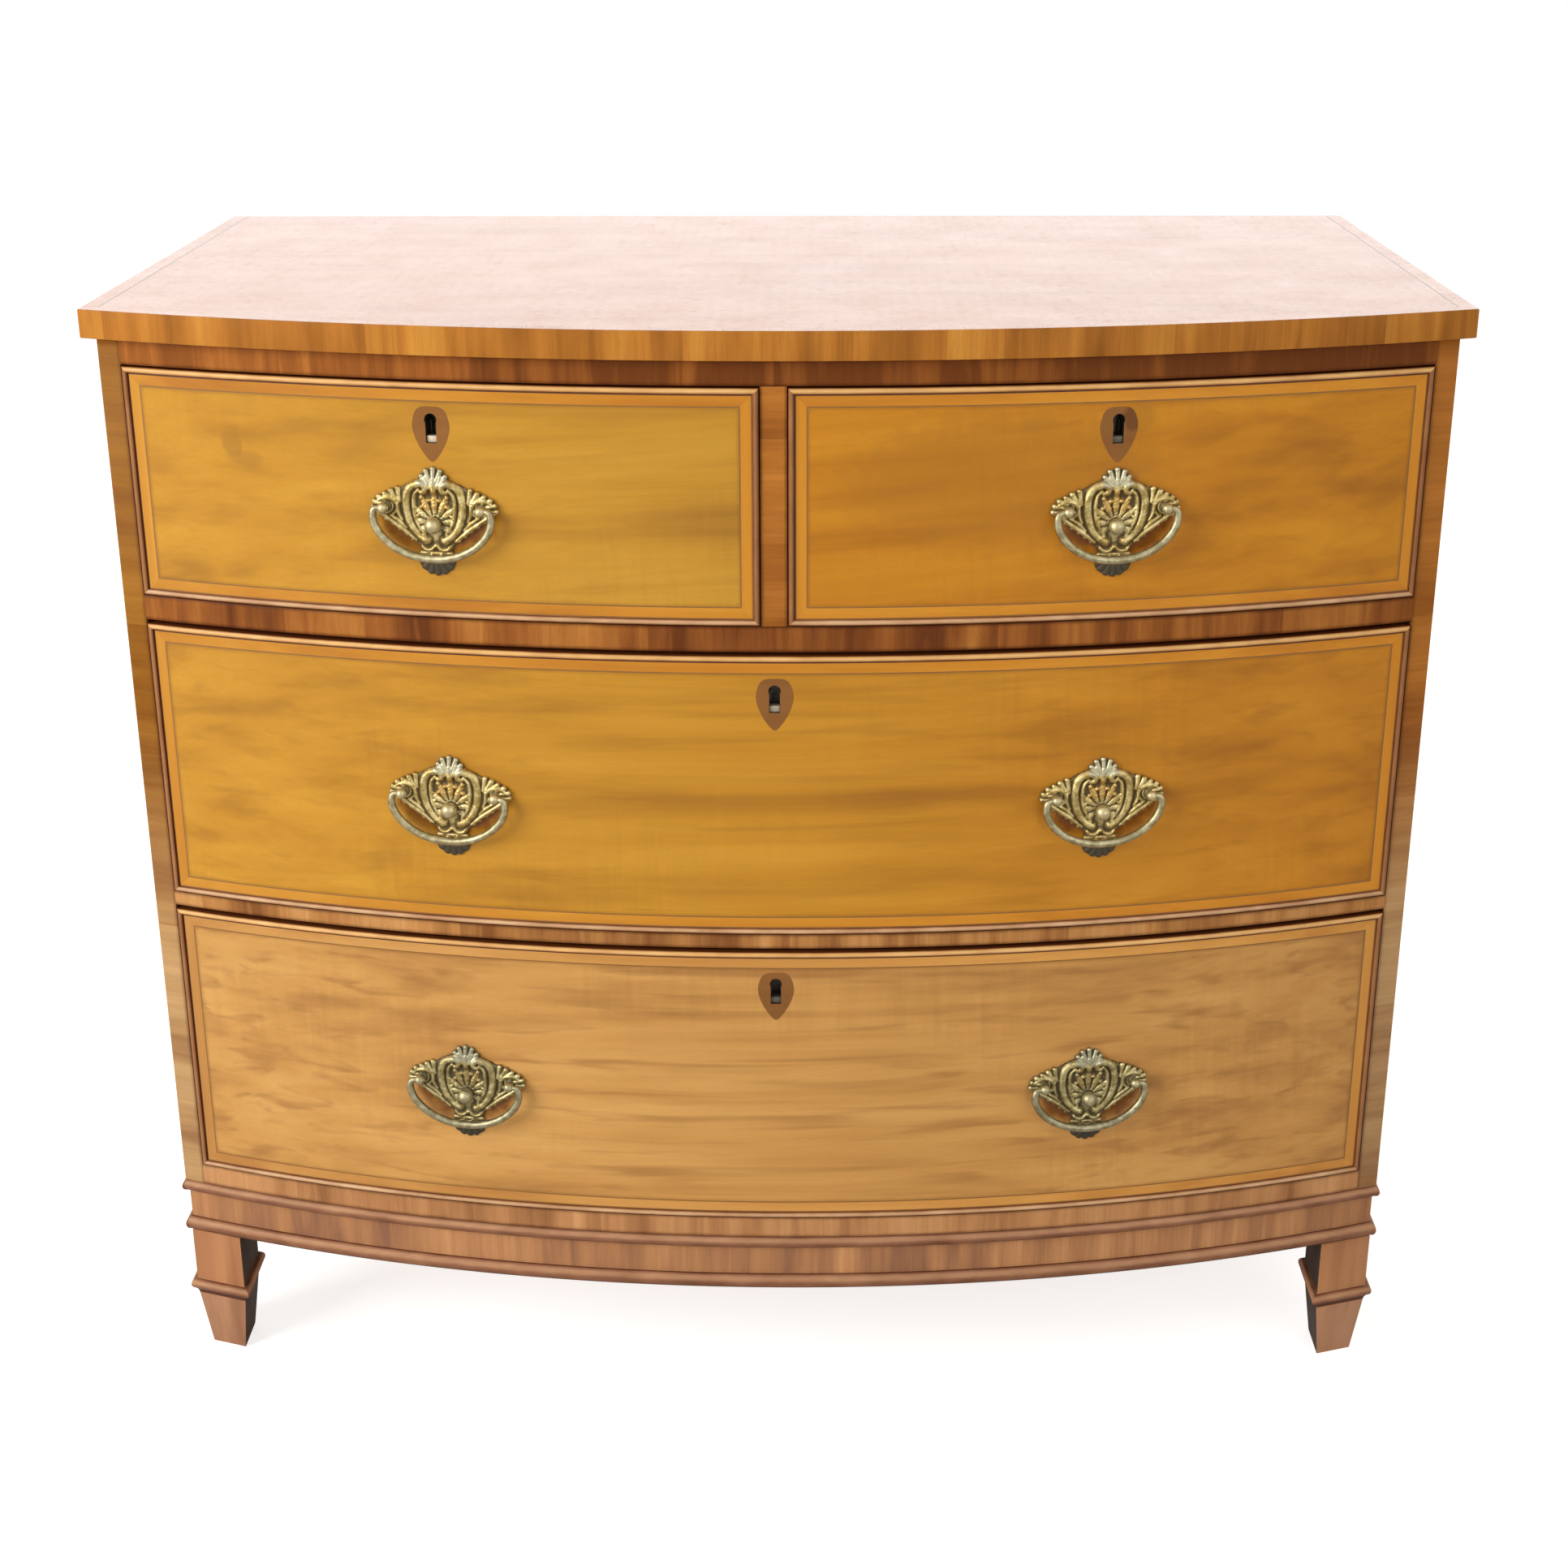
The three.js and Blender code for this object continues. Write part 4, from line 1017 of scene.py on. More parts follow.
def add_front(drawer):
    """The drawer front: its core, field, bandings, string, line of old polish and painted shade,
    and cockbead.
    """
    name = drawer["name"]
    left, right, low, high = drawer["edges"]
    core = copy_of_node(name + "_front", name + "_front_core")
    carve(core, keyhole_cutter(drawer, LINER_DEPTH + LINER_CLEARANCE))
    smooth(core)
    paint(core, FINISH["carcase"])
    seat(core, name, "drawer_veneer", name + "_front")

    ends = [FINISH[end] for end in ("bead_below", "bead_above", "bead_up", "bead_up")]
    bead = mitred_frame(name + "_beading", drawer, bead_section(), ends, bead_wear_and_highlight)
    seat(bead, name, "cockbead", name + "_cockbead")

    # the line beside the cockbead is painted dark as shade above and on the left, and paler below
    # and on the right
    dark, thin, string = FINISH["dark_wax_and_shade"], FINISH["faint_wax_and_shade"], FINISH["string"]
    across, up = FINISH[drawer["band"] + "_across"], FINISH[drawer["band"] + "_up"]
    start = BEAD_THICKNESS
    for part, width, proud, finishes in (
            ("wax_line", WAX_SHADOW_WIDTH, WAX_SHADOW_PROUD, (thin, dark, dark, thin)),
            ("banding", BANDING_WIDTH, VENEER_PROUD, (across, across, up, up)),
            ("string", STRING_WIDTH, STRING_PROUD, (string,) * 4)):
        section = flat_section(start, width, proud)
        seat(mitred_frame(name + "_" + part, drawer, section, finishes), name, "drawer_veneer")
        start += width

    profile = [(-VENEER_SUNK, low + start), (VENEER_PROUD, low + start),
               (VENEER_PROUD, high - start), (-VENEER_SUNK, high - start)]
    field = strip_on_bow(name + "_field", profile, left + start, right - start)
    edge_dirt_and_shade(field, left + start, right - start, low + start, high - start)
    carve(field, keyhole_cutter(drawer, CUT_OVERRUN))
    smooth(field)
    paint(field, FINISH[drawer["field"]])
    seat(field, name, "drawer_veneer")
    add_escutcheon(drawer)
    add_liner(drawer)


def drawer_facts(field, band, shield, sill_wear_and_sheen):
    """A drawer's edges and keyhole place, read from the frame, and its finishes."""
    name = field + "_drawer"
    low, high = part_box(name + "_cockbead")
    middle = (low.x + high.x) / 2
    return {
        "name": name,
        "field": field,
        "band": band,
        "shield": shield,
        "sill_wear_and_sheen": sill_wear_and_sheen,
        "edges": (low.x, high.x, low.z, high.z),
        "keyhole": local_frame(middle, high.z - KEYHOLE_DROP),
    }


# The handles. Their shapes are drawn in millimetres about the line through the two posts: x
# across, z up, and heights out from the drawer front.

PLATE_STEP = 0.45  # of the grid that the cast plate is modelled on
PLATE_HALF_WIDTH = 55
PLATE_TOP = 36
PLATE_BOTTOM = 56
PLATE_EDGE = 1.3  # height of the plate at its edge
PLATE_FLOOR = 2.0  # and of its ground within
PLATE_RISE = 1.6  # width over which it rises from one to the other
PLATE_LEAST = 0.8  # height that the casting's ripples leave
EDGE_SNAP = 0.75 * PLATE_STEP  # from the outline, within which points are moved onto it
POST_X = 38
POST_NECK = 2.7
POST_HEAD = 4.2
BOSS_X = 0
BOSS_Z = -12.6
BOSS_NECK = 3.4
BOSS_HEAD = 6.3
BOSS_HEIGHT = 8  # of the middle of its ball
KNOB_FOOT = 1.5
KNOB_COLLAR = [(1.6, 0), (1.6, 1.2), (0.5, 2.0), (0, 2.6)]  # out from its neck, and up
KNOB_TARNISH_AND_SHEEN = 0.16
KNOB_CLEAN = 10 * MM  # out from the drawer front, where the knobs are rubbed clean
SCROLL_Z = -3.8
NUT_SEAT = 23.05  # behind the face of the drawer front
NUT_THICKNESS = 4
NUT_WIDTH = 9.5
BOLT_START = 1
BOLT_END = 1.5
BOLT_RADIUS = 2.2
BOLT_ARRIS = 0.3
BEAD_RUN = 0.01  # length of the ridge that makes a round bead
FAR = 1e9  # past all distances on the plate
TINY = 1e-9  # and short of them

# Half outline of the plate without its leaf tips, from the crest down to the lower shell
PLATE_OUTLINE = [
    (0, 29), (5, 28), (9.2, 25.4), (11.4, 21.8), (15.4, 20.4), (20.6, 17.8), (25.4, 15.0),
    (31, 12.2), (37, 9.4), (42.6, 6.8), (46.6, 4), (48.4, -0.6), (46.8, -4.8), (41.8, -8.2),
    (36.4, -11.8), (30.6, -15.8), (25.2, -19.8), (20.4, -23.6), (16.2, -26.8), (13.2, -30),
    (12, -33.5), (12, -37), (13.6, -39.2), (14, -43.6), (12, -48), (7, -51), (0, -52.2),
]


def curve_through(points, steps=5):
    """Points on a smooth curve through the given points."""
    ends = [points[0]] + list(points) + [points[-1]]
    course = []
    for i in range(1, len(ends) - 2):
        before, start, end, after = (np.array(ends[j], float) for j in range(i - 1, i + 3))
        for step in range(steps):
            t = step / steps
            course.append(0.5 * (2 * start + (end - before) * t
                                 + (2 * before - 5 * start + 4 * end - after) * t ** 2
                                 + (3 * start - before - 3 * end + after) * t ** 3))
    course.append(np.array(points[-1], float))
    return course


def arc_points(centre, wide, tall, start, end, steps=24):
    """Points along part of an ellipse; angles in degrees, from +X towards +Z."""
    points = []
    for i in range(steps + 1):
        angle = math.radians(start + (end - start) * i / steps)
        points.append((centre[0] + wide * math.cos(angle), centre[1] + tall * math.sin(angle)))
    return points


def shares_along(course):
    """How far along a course each of its points lies, from 0 to 1."""
    steps = [math.dist(a, b) for a, b in zip(course, course[1:])]
    return np.concatenate([[0], np.cumsum(steps)]) / max(sum(steps), TINY)


def off_line(x, z, start, end):
    """How far along a straight line each place on a grid lies, from 0 to 1, and how far off."""
    start = np.array(start, float)
    run = np.array(end, float) - start
    along = ((x - start[0]) * run[0] + (z - start[1]) * run[1]) / max(float(run @ run), TINY)
    along = np.clip(along, 0, 1)
    return along, np.hypot(x - start[0] - along * run[0], z - start[1] - along * run[1])


class Relief:
    """A cast surface: heights and footprints on a grid, built up stroke by stroke."""

    def __init__(self, x, z, edge):
        self.x = x
        self.z = z
        self.edge = edge  # distance to the plate's outline, negative inside it
        rise = np.clip(-edge / PLATE_RISE, 0, 1)
        self.height = PLATE_EDGE + (PLATE_FLOOR - PLATE_EDGE) * np.sin(rise * math.pi / 2)

    def stroke(self, course, radii, heights):
        """A rounded ridge along a course, whose radius and height change evenly along it."""
        shares = shares_along(course)
        widths = np.interp(shares, np.linspace(0, 1, len(radii)), radii)
        tops = np.interp(shares, np.linspace(0, 1, len(heights)), heights)
        for i in range(len(course) - 1):
            along, away = off_line(self.x, self.z, course[i], course[i + 1])
            wide = widths[i] + along * (widths[i + 1] - widths[i])
            top = tops[i] + along * (tops[i + 1] - tops[i])
            swell = np.sqrt(np.clip(1 - (away / wide) ** 2, 0, 1))
            raised = np.where(away < wide, PLATE_EDGE + (top - PLATE_EDGE) * swell, 0)
            self.height = np.maximum(self.height, raised)
            self.edge = np.minimum(self.edge, away - wide)

    def bead(self, x, z, radius, top):
        """A round knob: the shortest of ridges."""
        self.stroke([(x, z), (x, z + BEAD_RUN)], [radius, radius], [top, top])

    def groove(self, course, width, depth):
        """A narrow cut along a course."""
        near = np.full(self.x.shape, FAR)
        for start, end in zip(course, course[1:]):
            near = np.minimum(near, off_line(self.x, self.z, start, end)[1])
        self.height = self.height - depth * np.clip(1 - near / width, 0, 1)


def outline_distance(x, z, outline):
    """Distance from each point to a closed outline, negative inside it."""
    near = np.full(x.shape, FAR)
    inside = np.zeros(x.shape, bool)
    for (x0, z0), (x1, z1) in zip(outline, outline[1:] + outline[:1]):
        near = np.minimum(near, off_line(x, z, (x0, z0), (x1, z1))[1])
        if z0 != z1:
            crosses = (z0 > z) != (z1 > z)
            inside ^= crosses & (x < x0 + (z - z0) * (x1 - x0) / (z1 - z0))
    return np.where(inside, -near, near)


def ray(origin, angle, start, end):
    """The two ends of a straight stroke out from an origin, at an angle in degrees."""
    turn = math.radians(angle)
    across, up = math.cos(turn), math.sin(turn)
    return [(origin[0] + across * reach, origin[1] + up * reach)
            for reach in (start, (start + end) / 2, end)]


def carve_scrolls(relief):
    """The two facing scrolls that make the oval: a broad band outside, a ridge inside, a curl
    on top and a rolled end below."""
    band = curve_through([(10.5, 18.4), (15.6, 17), (19.8, 13.2), (21.8, 7), (22, 0), (21, -7),
                          (18.6, -14), (14.4, -20.2), (8.8, -24.8)])
    relief.stroke(band, [2.8, 3.4, 3.5, 3.4, 2.8], [5.4, 5.2, 5.0, 4.8, 5.2])
    ridge = curve_through([(11.4, 13.6), (14.8, 10), (16, 4.4), (16, -2.6), (14.8, -9.4),
                           (12, -15.4), (8.4, -20.2)])
    relief.stroke(ridge, [1.6, 1.9, 1.9, 1.9, 1.6], [4.8, 4.6, 4.6, 4.6])
    curl = curve_through([(14.4, 17), (10, 18.6), (6.6, 16.4), (6.8, 12.6), (9.8, 11.6)])
    relief.stroke(curl, [3.2, 3.6, 3.0, 2.3], [5.6, 6.8, 6.2, 5.0])
    relief.stroke([(12.4, -22.4), (7.4, -25.2)], [3.2, 4.0], [5.2, 6.2])
    relief.groove([(20.4, 10), (21.6, 4), (21.2, -3), (19.6, -9)], 0.7, 0.7)


def carve_palmette(relief):
    """The leaves within the oval, rising from behind the boss."""
    origin = (0, BOSS_Z)
    for angle, reach in ((90, 21), (64, 20), (38, 17.6), (10, 14.5), (-24, 13.5)):
        relief.stroke(ray(origin, angle, 6, reach), [1.8, 3.3, 2.7], [3.4, 4.3, 3.6])
    for angle, reach, radius in ((77, 18.5, 2.2), (64, 22.4, 2.2), (51, 16.4, 2.0),
                                 (38, 19.6, 2.1), (24, 14.4, 1.7)):
        x, z = ray(origin, angle, 0, reach)[2]
        relief.bead(x, z, radius, 4.5)
    for angle, reach in ((77, 16), (51, 15), (24, 13)):
        relief.groove(ray(origin, angle, 7, reach), 0.6, 0.8)
    relief.bead(0, 11, 2.6, 4.9)


def carve_crest(relief):
    """The shell on top."""
    origin = (0, 14)
    for angle, reach in ((90, 15.4), (68, 14.9), (46, 13.4), (26, 11.4)):
        relief.stroke(ray(origin, angle, 3, reach), [2.0, 2.4, 2.2], [5.0, 4.6, 3.6])
        x, z = ray(origin, angle, 0, reach)[2]
        relief.bead(x, z, 2.2, 3.9)
    for angle in (79, 57, 36):
        relief.groove(ray(origin, angle, 8, 16), 0.6, 0.8)
    relief.stroke([(0, 13), (0, 22)], [3.2, 2.2], [5.9, 5.2])
    relief.stroke([(3.8, 17), (5.8, 23.6)], [1.9, 1.6], [5.3, 4.5])


def carve_wings(relief):
    """Acanthus leaves from the oval out to the ears, with a knobbly edge."""
    tips = [(28.4, 13.4), (33.6, 11), (38.6, 8.8), (43.4, 6.2), (47, 2.6), (48.2, -1.8)]
    roots = [(27, 4), (29.6, 4.6), (32.4, 5.4), (38, 4.4), (41, 1.4), (42, -2)]
    sizes = [2.3, 2.7, 2.3, 2.6, 2.3, 2.1]
    for tip, root, size in zip(tips, roots, sizes):
        relief.stroke([root, tip], [1.9, size], [4.7, 3.9])
        relief.bead(tip[0] + 0.4, tip[1] + 0.5, size * 0.85, 4.1)
    curl = arc_points((POST_X - 0.6, -0.4), 8.2, 6.8, 35, 235)
    relief.stroke(curl, [1.6, 2.2, 2.0, 1.4], [4.2, 5.0, 4.6, 3.8])
    ring = arc_points((POST_X, 0), 5.2, 5.2, 0, 360)
    relief.stroke(ring, [1.1, 1.1], [3.6, 3.6])
    rim = curve_through([(46, -3.6), (40.8, -7), (35.4, -10.6), (29.8, -14.6), (24.6, -18.4),
                         (19.8, -22.2), (15.6, -25.8)])
    relief.stroke(rim, [1.5, 2.0, 2.2, 2.1, 1.6], [3.6, 4.2, 4.4, 4.2, 3.6])
    for x, z in ((43.8, -6.6), (38.6, -10), (33.2, -13.6), (28, -17.4), (22.8, -21.4), (18, -25)):
        relief.bead(x, z, 1.9, 3.6)
    vein = curve_through([(34.6, -7), (30.4, -9.6), (26.4, -13), (22.8, -16.6)])
    relief.stroke(vein, [1.3, 1.9, 1.8, 1.3], [4.4, 4.8, 4.4, 3.8])
    leaf = curve_through([(28.6, 2.6), (28.8, -2), (27.8, -6.6), (25.6, -10.4)])
    relief.stroke(leaf, [1.5, 1.9, 1.6, 1.1], [4.8, 5.0, 4.6, 4.0])


def carve_base(relief):
    """The little plinth below the oval, and the shell that hangs from it."""
    swag = arc_points((6.2, -29.6), 4.6, 3.4, 190, 350, 10)
    relief.stroke(swag, [1.5, 2.0, 1.5], [4.2, 4.6, 4.2])
    relief.bead(0, -29.6, 2.4, 4.8)
    relief.stroke([(0, -35.6), (11.6, -35.6)], [1.8, 1.8], [3.8, 3.6])
    origin = (0, -35)
    for angle, reach in ((-90, 15.6), (-70, 15.4), (-50, 14.4), (-31, 13.2)):
        relief.stroke(ray(origin, angle, 4, reach), [1.8, 2.6, 2.8], [4.2, 4.2, 2.8])
        relief.groove(ray(origin, angle + 10, 6, reach + 2), 0.6, 0.8)


def tarnish_and_reflection_of(x, z):
    """Which tint the plate has: silvery on the crest and round the boss, which is tarnish with a
    painted reflection of the light, golden on the leaves and below the oval, sooty on the lower
    shell, and plain brass elsewhere."""
    tint = np.full(x.shape, 0.35)
    tint[np.hypot(x, z - 3.4) < 12] = 0.65
    tint[np.hypot(x / 1.2, z - BOSS_Z) < 10.5] = 0.18
    tint[(z > 17) & (np.abs(x) < 12)] = 0.0
    tint[(z < -27) & (z > -38)] = 0.5
    tint[z < -38] = 1.0
    return blurred(tint, 3)


def blurred(field, reach):
    """A field evened out over so many steps of its grid, in both directions."""
    weights = np.exp(-0.5 * (np.arange(-3 * reach, 3 * reach + 1) / reach) ** 2)
    weights /= weights.sum()
    for axis in (0, 1):
        field = np.apply_along_axis(lambda row: np.convolve(row, weights, "same"), axis, field)
    return field


def plate_grid():
    """The cast plate's relief on a grid: places, distances to its edge, heights, recesses
    and tarnish."""
    xs = np.arange(-PLATE_HALF_WIDTH, PLATE_HALF_WIDTH + PLATE_STEP / 2, PLATE_STEP)
    zs = np.arange(-PLATE_BOTTOM, PLATE_TOP + PLATE_STEP / 2, PLATE_STEP)
    x, z = np.meshgrid(xs, zs)
    outline = PLATE_OUTLINE + [(-a, b) for a, b in PLATE_OUTLINE[-2:0:-1]]
    relief = Relief(np.abs(x), z, outline_distance(x, z, outline))
    carve_wings(relief)
    carve_base(relief)
    carve_palmette(relief)
    carve_scrolls(relief)
    carve_crest(relief)
    height = blurred(relief.height, 0.8)
    wave = np.sin(x * 1.9 + 2 * np.sin(z * 0.7)) * np.sin(z * 1.7 + 2 * np.sin(x * 0.6))
    height = height + np.where(np.hypot(x, z - SCROLL_Z) < 16, 0.2, 0.09) * wave
    height = np.maximum(height, PLATE_LEAST)
    hollow = blurred(height, 3.2) - height
    recess = np.clip(0.36 + hollow * 0.75 - (height - 3) * 0.12, 0, 1)
    return x, z, relief.edge, height, recess, tarnish_and_reflection_of(x, z)


def bow_sag(x):
    """How far the drawer front falls away from a flat plate at x, in millimetres."""
    return x * x / (2 * BOW_RADIUS / MM) - VENEER_PROUD / MM


def make_plate():
    """The cast plate: a grid raised into its relief, trimmed to the outline, with a rim."""
    x, z, edge, height, recess, tarnish = plate_grid()
    rows, columns = x.shape
    bpy.ops.mesh.primitive_grid_add(x_subdivisions=columns - 1, y_subdivisions=rows - 1, size=1)
    piece = bpy.context.object
    piece.name = "cast_plate"
    mesh = piece.data

    # Points beside the outline are moved onto it
    flat = np.stack([x.ravel(), z.ravel()], axis=1)
    away = edge.ravel()
    gradient_z, gradient_x = np.gradient(edge, PLATE_STEP)
    slope = np.stack([gradient_x.ravel(), gradient_z.ravel()], axis=1)
    slope /= np.maximum(np.linalg.norm(slope, axis=1), TINY)[:, None]
    near = np.abs(away) < EDGE_SNAP
    placed = np.where(near[:, None], flat - slope * away[:, None], flat)
    points = np.stack([placed[:, 0], -height.ravel(), placed[:, 1]], axis=1) * MM
    mesh.vertices.foreach_set("co", points.ravel())
    for name, values in (("recess", recess), ("tarnish", tarnish)):
        layer = mesh.attributes.new(name, "FLOAT", "POINT")
        layer.data.foreach_set("value", values.ravel().astype(np.float32))

    # What lies beyond it goes
    open_mesh(piece, "DESELECT")
    shape = bmesh.from_edit_mesh(mesh)
    shape.verts.ensure_lookup_table()
    for i in np.nonzero(away >= EDGE_SNAP)[0]:
        shape.verts[i].select_set(True)
    bmesh.update_edit_mesh(mesh)
    bpy.ops.mesh.delete(type="VERT")
    bpy.ops.mesh.select_all(action="SELECT")
    bpy.ops.mesh.delete_loose()

    # The rim goes back to the bowed drawer front
    bpy.ops.mesh.select_all(action="SELECT")
    bpy.ops.mesh.region_to_loop()
    bpy.ops.mesh.extrude_region_move(TRANSFORM_OT_translate={"value": (0, MM, 0)})
    shape = bmesh.from_edit_mesh(mesh)
    for vertex in shape.verts:
        if vertex.select:
            vertex.co.y = bow_sag(vertex.co.x / MM) * MM
    bmesh.update_edit_mesh(mesh)
    bpy.ops.mesh.edge_face_add()
    close_mesh()
    face_outwards(piece)
    return piece


def turned_knob(name, profile, x, z, sides=28):
    """A knob on an axis along Y. profile holds radii and heights out from the front."""
    points = [((x + radius) * MM, -out * MM, z * MM) for radius, out in profile]
    piece = outline_piece(name, points)
    open_mesh(piece)
    bpy.ops.mesh.delete(type="ONLY_FACE")
    bpy.ops.mesh.select_all(action="SELECT")
    bpy.ops.mesh.spin(steps=sides, angle=2 * math.pi, center=(x * MM, 0, z * MM),
                      axis=(0, 1, 0))
    bpy.ops.mesh.select_all(action="SELECT")
    bpy.ops.mesh.remove_doubles(threshold=TOLERANCE)
    close_mesh()
    face_outwards(piece)
    return piece


def ball_profile(neck, head, height, steps=10):
    """A turned neck and collar below a ball whose middle is at the given height."""
    points = [(0, KNOB_FOOT)] + [(neck + out, KNOB_FOOT + up) for out, up in KNOB_COLLAR]
    start = math.asin(neck / head)
    for i in range(steps):
        angle = start + (math.pi - start) * i / steps
        points.append((head * math.sin(angle), height - head * math.cos(angle)))
    return points + [(0, height + head)]


def rod(name, x, y0, y1, radius, sides):
    """A bolt or a nut behind the drawer front, along Y."""
    bpy.ops.mesh.primitive_cylinder_add(vertices=sides, radius=radius * MM, depth=(y1 - y0) * MM,
                                        location=(x * MM, (y0 + y1) / 2 * MM, 0),
                                        rotation=(math.pi / 2, math.pi / sides, 0))
    piece = bpy.context.object
    piece.name = name
    bpy.ops.object.transform_apply(location=True, rotation=True, scale=True)
    soften(piece, BOLT_ARRIS * MM, 1, 40)
    return piece


def make_backplate():
    """The plate with its posts, boss, bolts and nuts. The dirt lies round the knobs' necks."""
    post = ball_profile(POST_NECK, POST_HEAD, BAIL_AXIS / MM)
    boss = ball_profile(BOSS_NECK, BOSS_HEAD, BOSS_HEIGHT)
    plate = make_plate()
    knobs = [turned_knob("post", post, side * POST_X, 0) for side in (-1, 1)]
    knobs.append(turned_knob("boss", boss, BOSS_X, BOSS_Z))
    for knob in knobs:
        # the knobs are painted silvery: tarnish with a painted sheen of the light
        mark(knob, "tarnish", lambda place: KNOB_TARNISH_AND_SHEEN)
        mark(knob, "recess", lambda place: max(0, 1 + place.y / KNOB_CLEAN))
    fixings = []
    nut_end = NUT_SEAT + NUT_THICKNESS
    for x in (-POST_X, POST_X):
        fixings.append(rod("bolt", x, BOLT_START, nut_end + BOLT_END, BOLT_RADIUS, 16))
        fixings.append(rod("nut", x, NUT_SEAT, nut_end, NUT_WIDTH / math.sqrt(2), 4))
    return smooth(joined("backplate", [plate] + knobs + fixings), 50)


# Half course of the bail from its pin to the middle of its grip, with its radius on the way
BAIL_COURSE = [
    (33.5, 0, 1.7), (38, 0, 1.8), (43.2, -0.1, 2.3), (45.6, -2, 2.7), (46.4, -6.5, 2.95),
    (45.2, -12.8, 3.05), (41.6, -19.6, 3.1), (35.4, -26.2, 3.1), (27, -31.9, 3.1),
    (17.6, -35.7, 3.15), (8.6, -37.6, 3.2), (0, -38.1, 3.2),
]


def make_bail():
    """The swinging grip: a tapered rod bent round, with its ends turned in as pins."""
    half = curve_through(BAIL_COURSE, 4)
    course = half + [point * (-1, 1, 1) for point in half[-2::-1]]
    line = bpy.data.curves.new("bail", "CURVE")
    line.dimensions = "3D"
    line.bevel_depth = MM
    line.bevel_resolution = 4
    line.use_fill_caps = True
    spline = line.splines.new("POLY")
    spline.points.add(len(course) - 1)
    for point, (x, z, radius) in zip(spline.points, course):
        point.co = (x * MM, -BAIL_AXIS, z * MM, 1)
        point.radius = radius
    piece = bpy.data.objects.new("bail", line)
    bpy.context.scene.collection.objects.link(piece)
    only(piece)
    bpy.ops.object.convert(target="MESH")
    open_mesh(piece)
    bpy.ops.mesh.remove_doubles(threshold=TOLERANCE)
    close_mesh()
    face_outwards(piece)
    return smooth(piece, 50)


def twin(piece, name):
    """A copy of a piece with a mesh of its own."""
    copy = piece.copy()
    copy.data = piece.data.copy()
    copy.name = name
    copy.data.name = name
    bpy.context.scene.collection.objects.link(copy)
    return copy


def add_handles():
    """One handle is modelled and copied to its six places."""
    plate = make_backplate()
    bail = make_bail()
    for name, drawer in HANDLES.items():
        place = local_frame(*handle_place(name))
        tarnish = "_dull" if drawer == "lower_long_drawer" else ""
        cast = moved(twin(plate, name + "_cast_backplate"), place)
        paint(cast, FINISH["plate" + tarnish])
        seat(cast, drawer, "handle_brass", name + "_backplate")
        grip = moved(twin(bail, name + "_grip"), place)
        paint(grip, FINISH["bail" + tarnish])
        seat(grip, name + "_handle", "handle_brass", name + "_bail")
    bpy.data.objects.remove(plate)
    bpy.data.objects.remove(bail)


# The case

def veneer_strip(name, x0, x1, low, high, finish, dirtied_and_shaded):
    """A strip of veneer on the bowed face of the case, with slightly rubbed arrises."""
    rub, proud = VENEER_RUB, VENEER_PROUD
    profile = [(-VENEER_SUNK, low), (proud - rub, low), (proud, low + rub), (proud, high - rub),
               (proud - rub, high), (-VENEER_SUNK, high)]
    piece = strip_on_bow(name, profile, x0, x1)
    edge_dirt_and_shade(piece, **dirtied_and_shaded)
    smooth(piece, 50)
    paint(piece, finish)
    return seat(piece, "case", "case_veneer")


def add_case_veneers():
    inner = -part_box("left_side")[1].x
    for node in ("bottom_rail", "lower_rail", "middle_rail", "top_rail"):
        low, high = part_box(node)
        veneer_strip(node + "_banding", -inner, inner, low.z, high.z, FINISH[node],
                     {"low": low.z, "high": high.z})
    low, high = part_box("muntin")
    veneer_strip("muntin_banding", low.x, high.x, low.z, high.z, FINISH["muntin"],
                 {"left": low.x, "right": high.x})
    low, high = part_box("left_side")
    veneer_strip("left_stile_banding", -CASE_HALF, -inner, low.z, high.z,
                 FINISH["left_stile"], {"right": -inner})
    veneer_strip("right_stile_banding", inner, CASE_HALF, low.z, high.z,
                 FINISH["right_stile"], {"left": inner})


def add_sides():
    for hand in ("left", "right"):
        node = hand + "_side"
        piece = copy_of_node(node, hand + "_side_board")
        soften(piece, SIDE_ARRIS)
        smooth(piece)
        paint(piece, FINISH["side"])
        seat(piece, "case", "case_veneer", node)


def top_outline(low, high, radius):
    """The outline of the top: bowed as the front, and square behind."""
    steps = math.ceil((high.x - low.x) / BOW_STEP)
    xs = [low.x + (high.x - low.x) * i / steps for i in range(steps + 1)]
    front = [(x, BOW_CENTRE_Y - math.sqrt(radius ** 2 - x * x)) for x in xs]
    return front + [(high.x, high.y), (low.x, high.y)]


def divide_top(piece, half, inner_x, inner_radius):
    """Cuts the upper face into strips, and each strip where the front border ends."""
    cuts = [inner_x * (2 * i / TOP_STRIPS - 1) for i in range(TOP_STRIPS + 1)]
    open_mesh(piece)
    for cut in cuts:
        bpy.ops.mesh.select_all(action="SELECT")
        bpy.ops.mesh.bisect(plane_co=(cut, 0, 0), plane_no=(1, 0, 0))
    ends = [-half] + cuts + [half]
    for start, end in zip(ends, ends[1:]):
        pick_faces(piece, lambda middle, normal: normal.z > FLAT and start < middle.x < end)
        y0, y1 = (BOW_CENTRE_Y - math.sqrt(inner_radius ** 2 - x * x) for x in (start, end))
        bpy.ops.mesh.bisect(plane_co=(start, y0, 0), plane_no=(y1 - y0, start - end, 0))
    close_mesh()


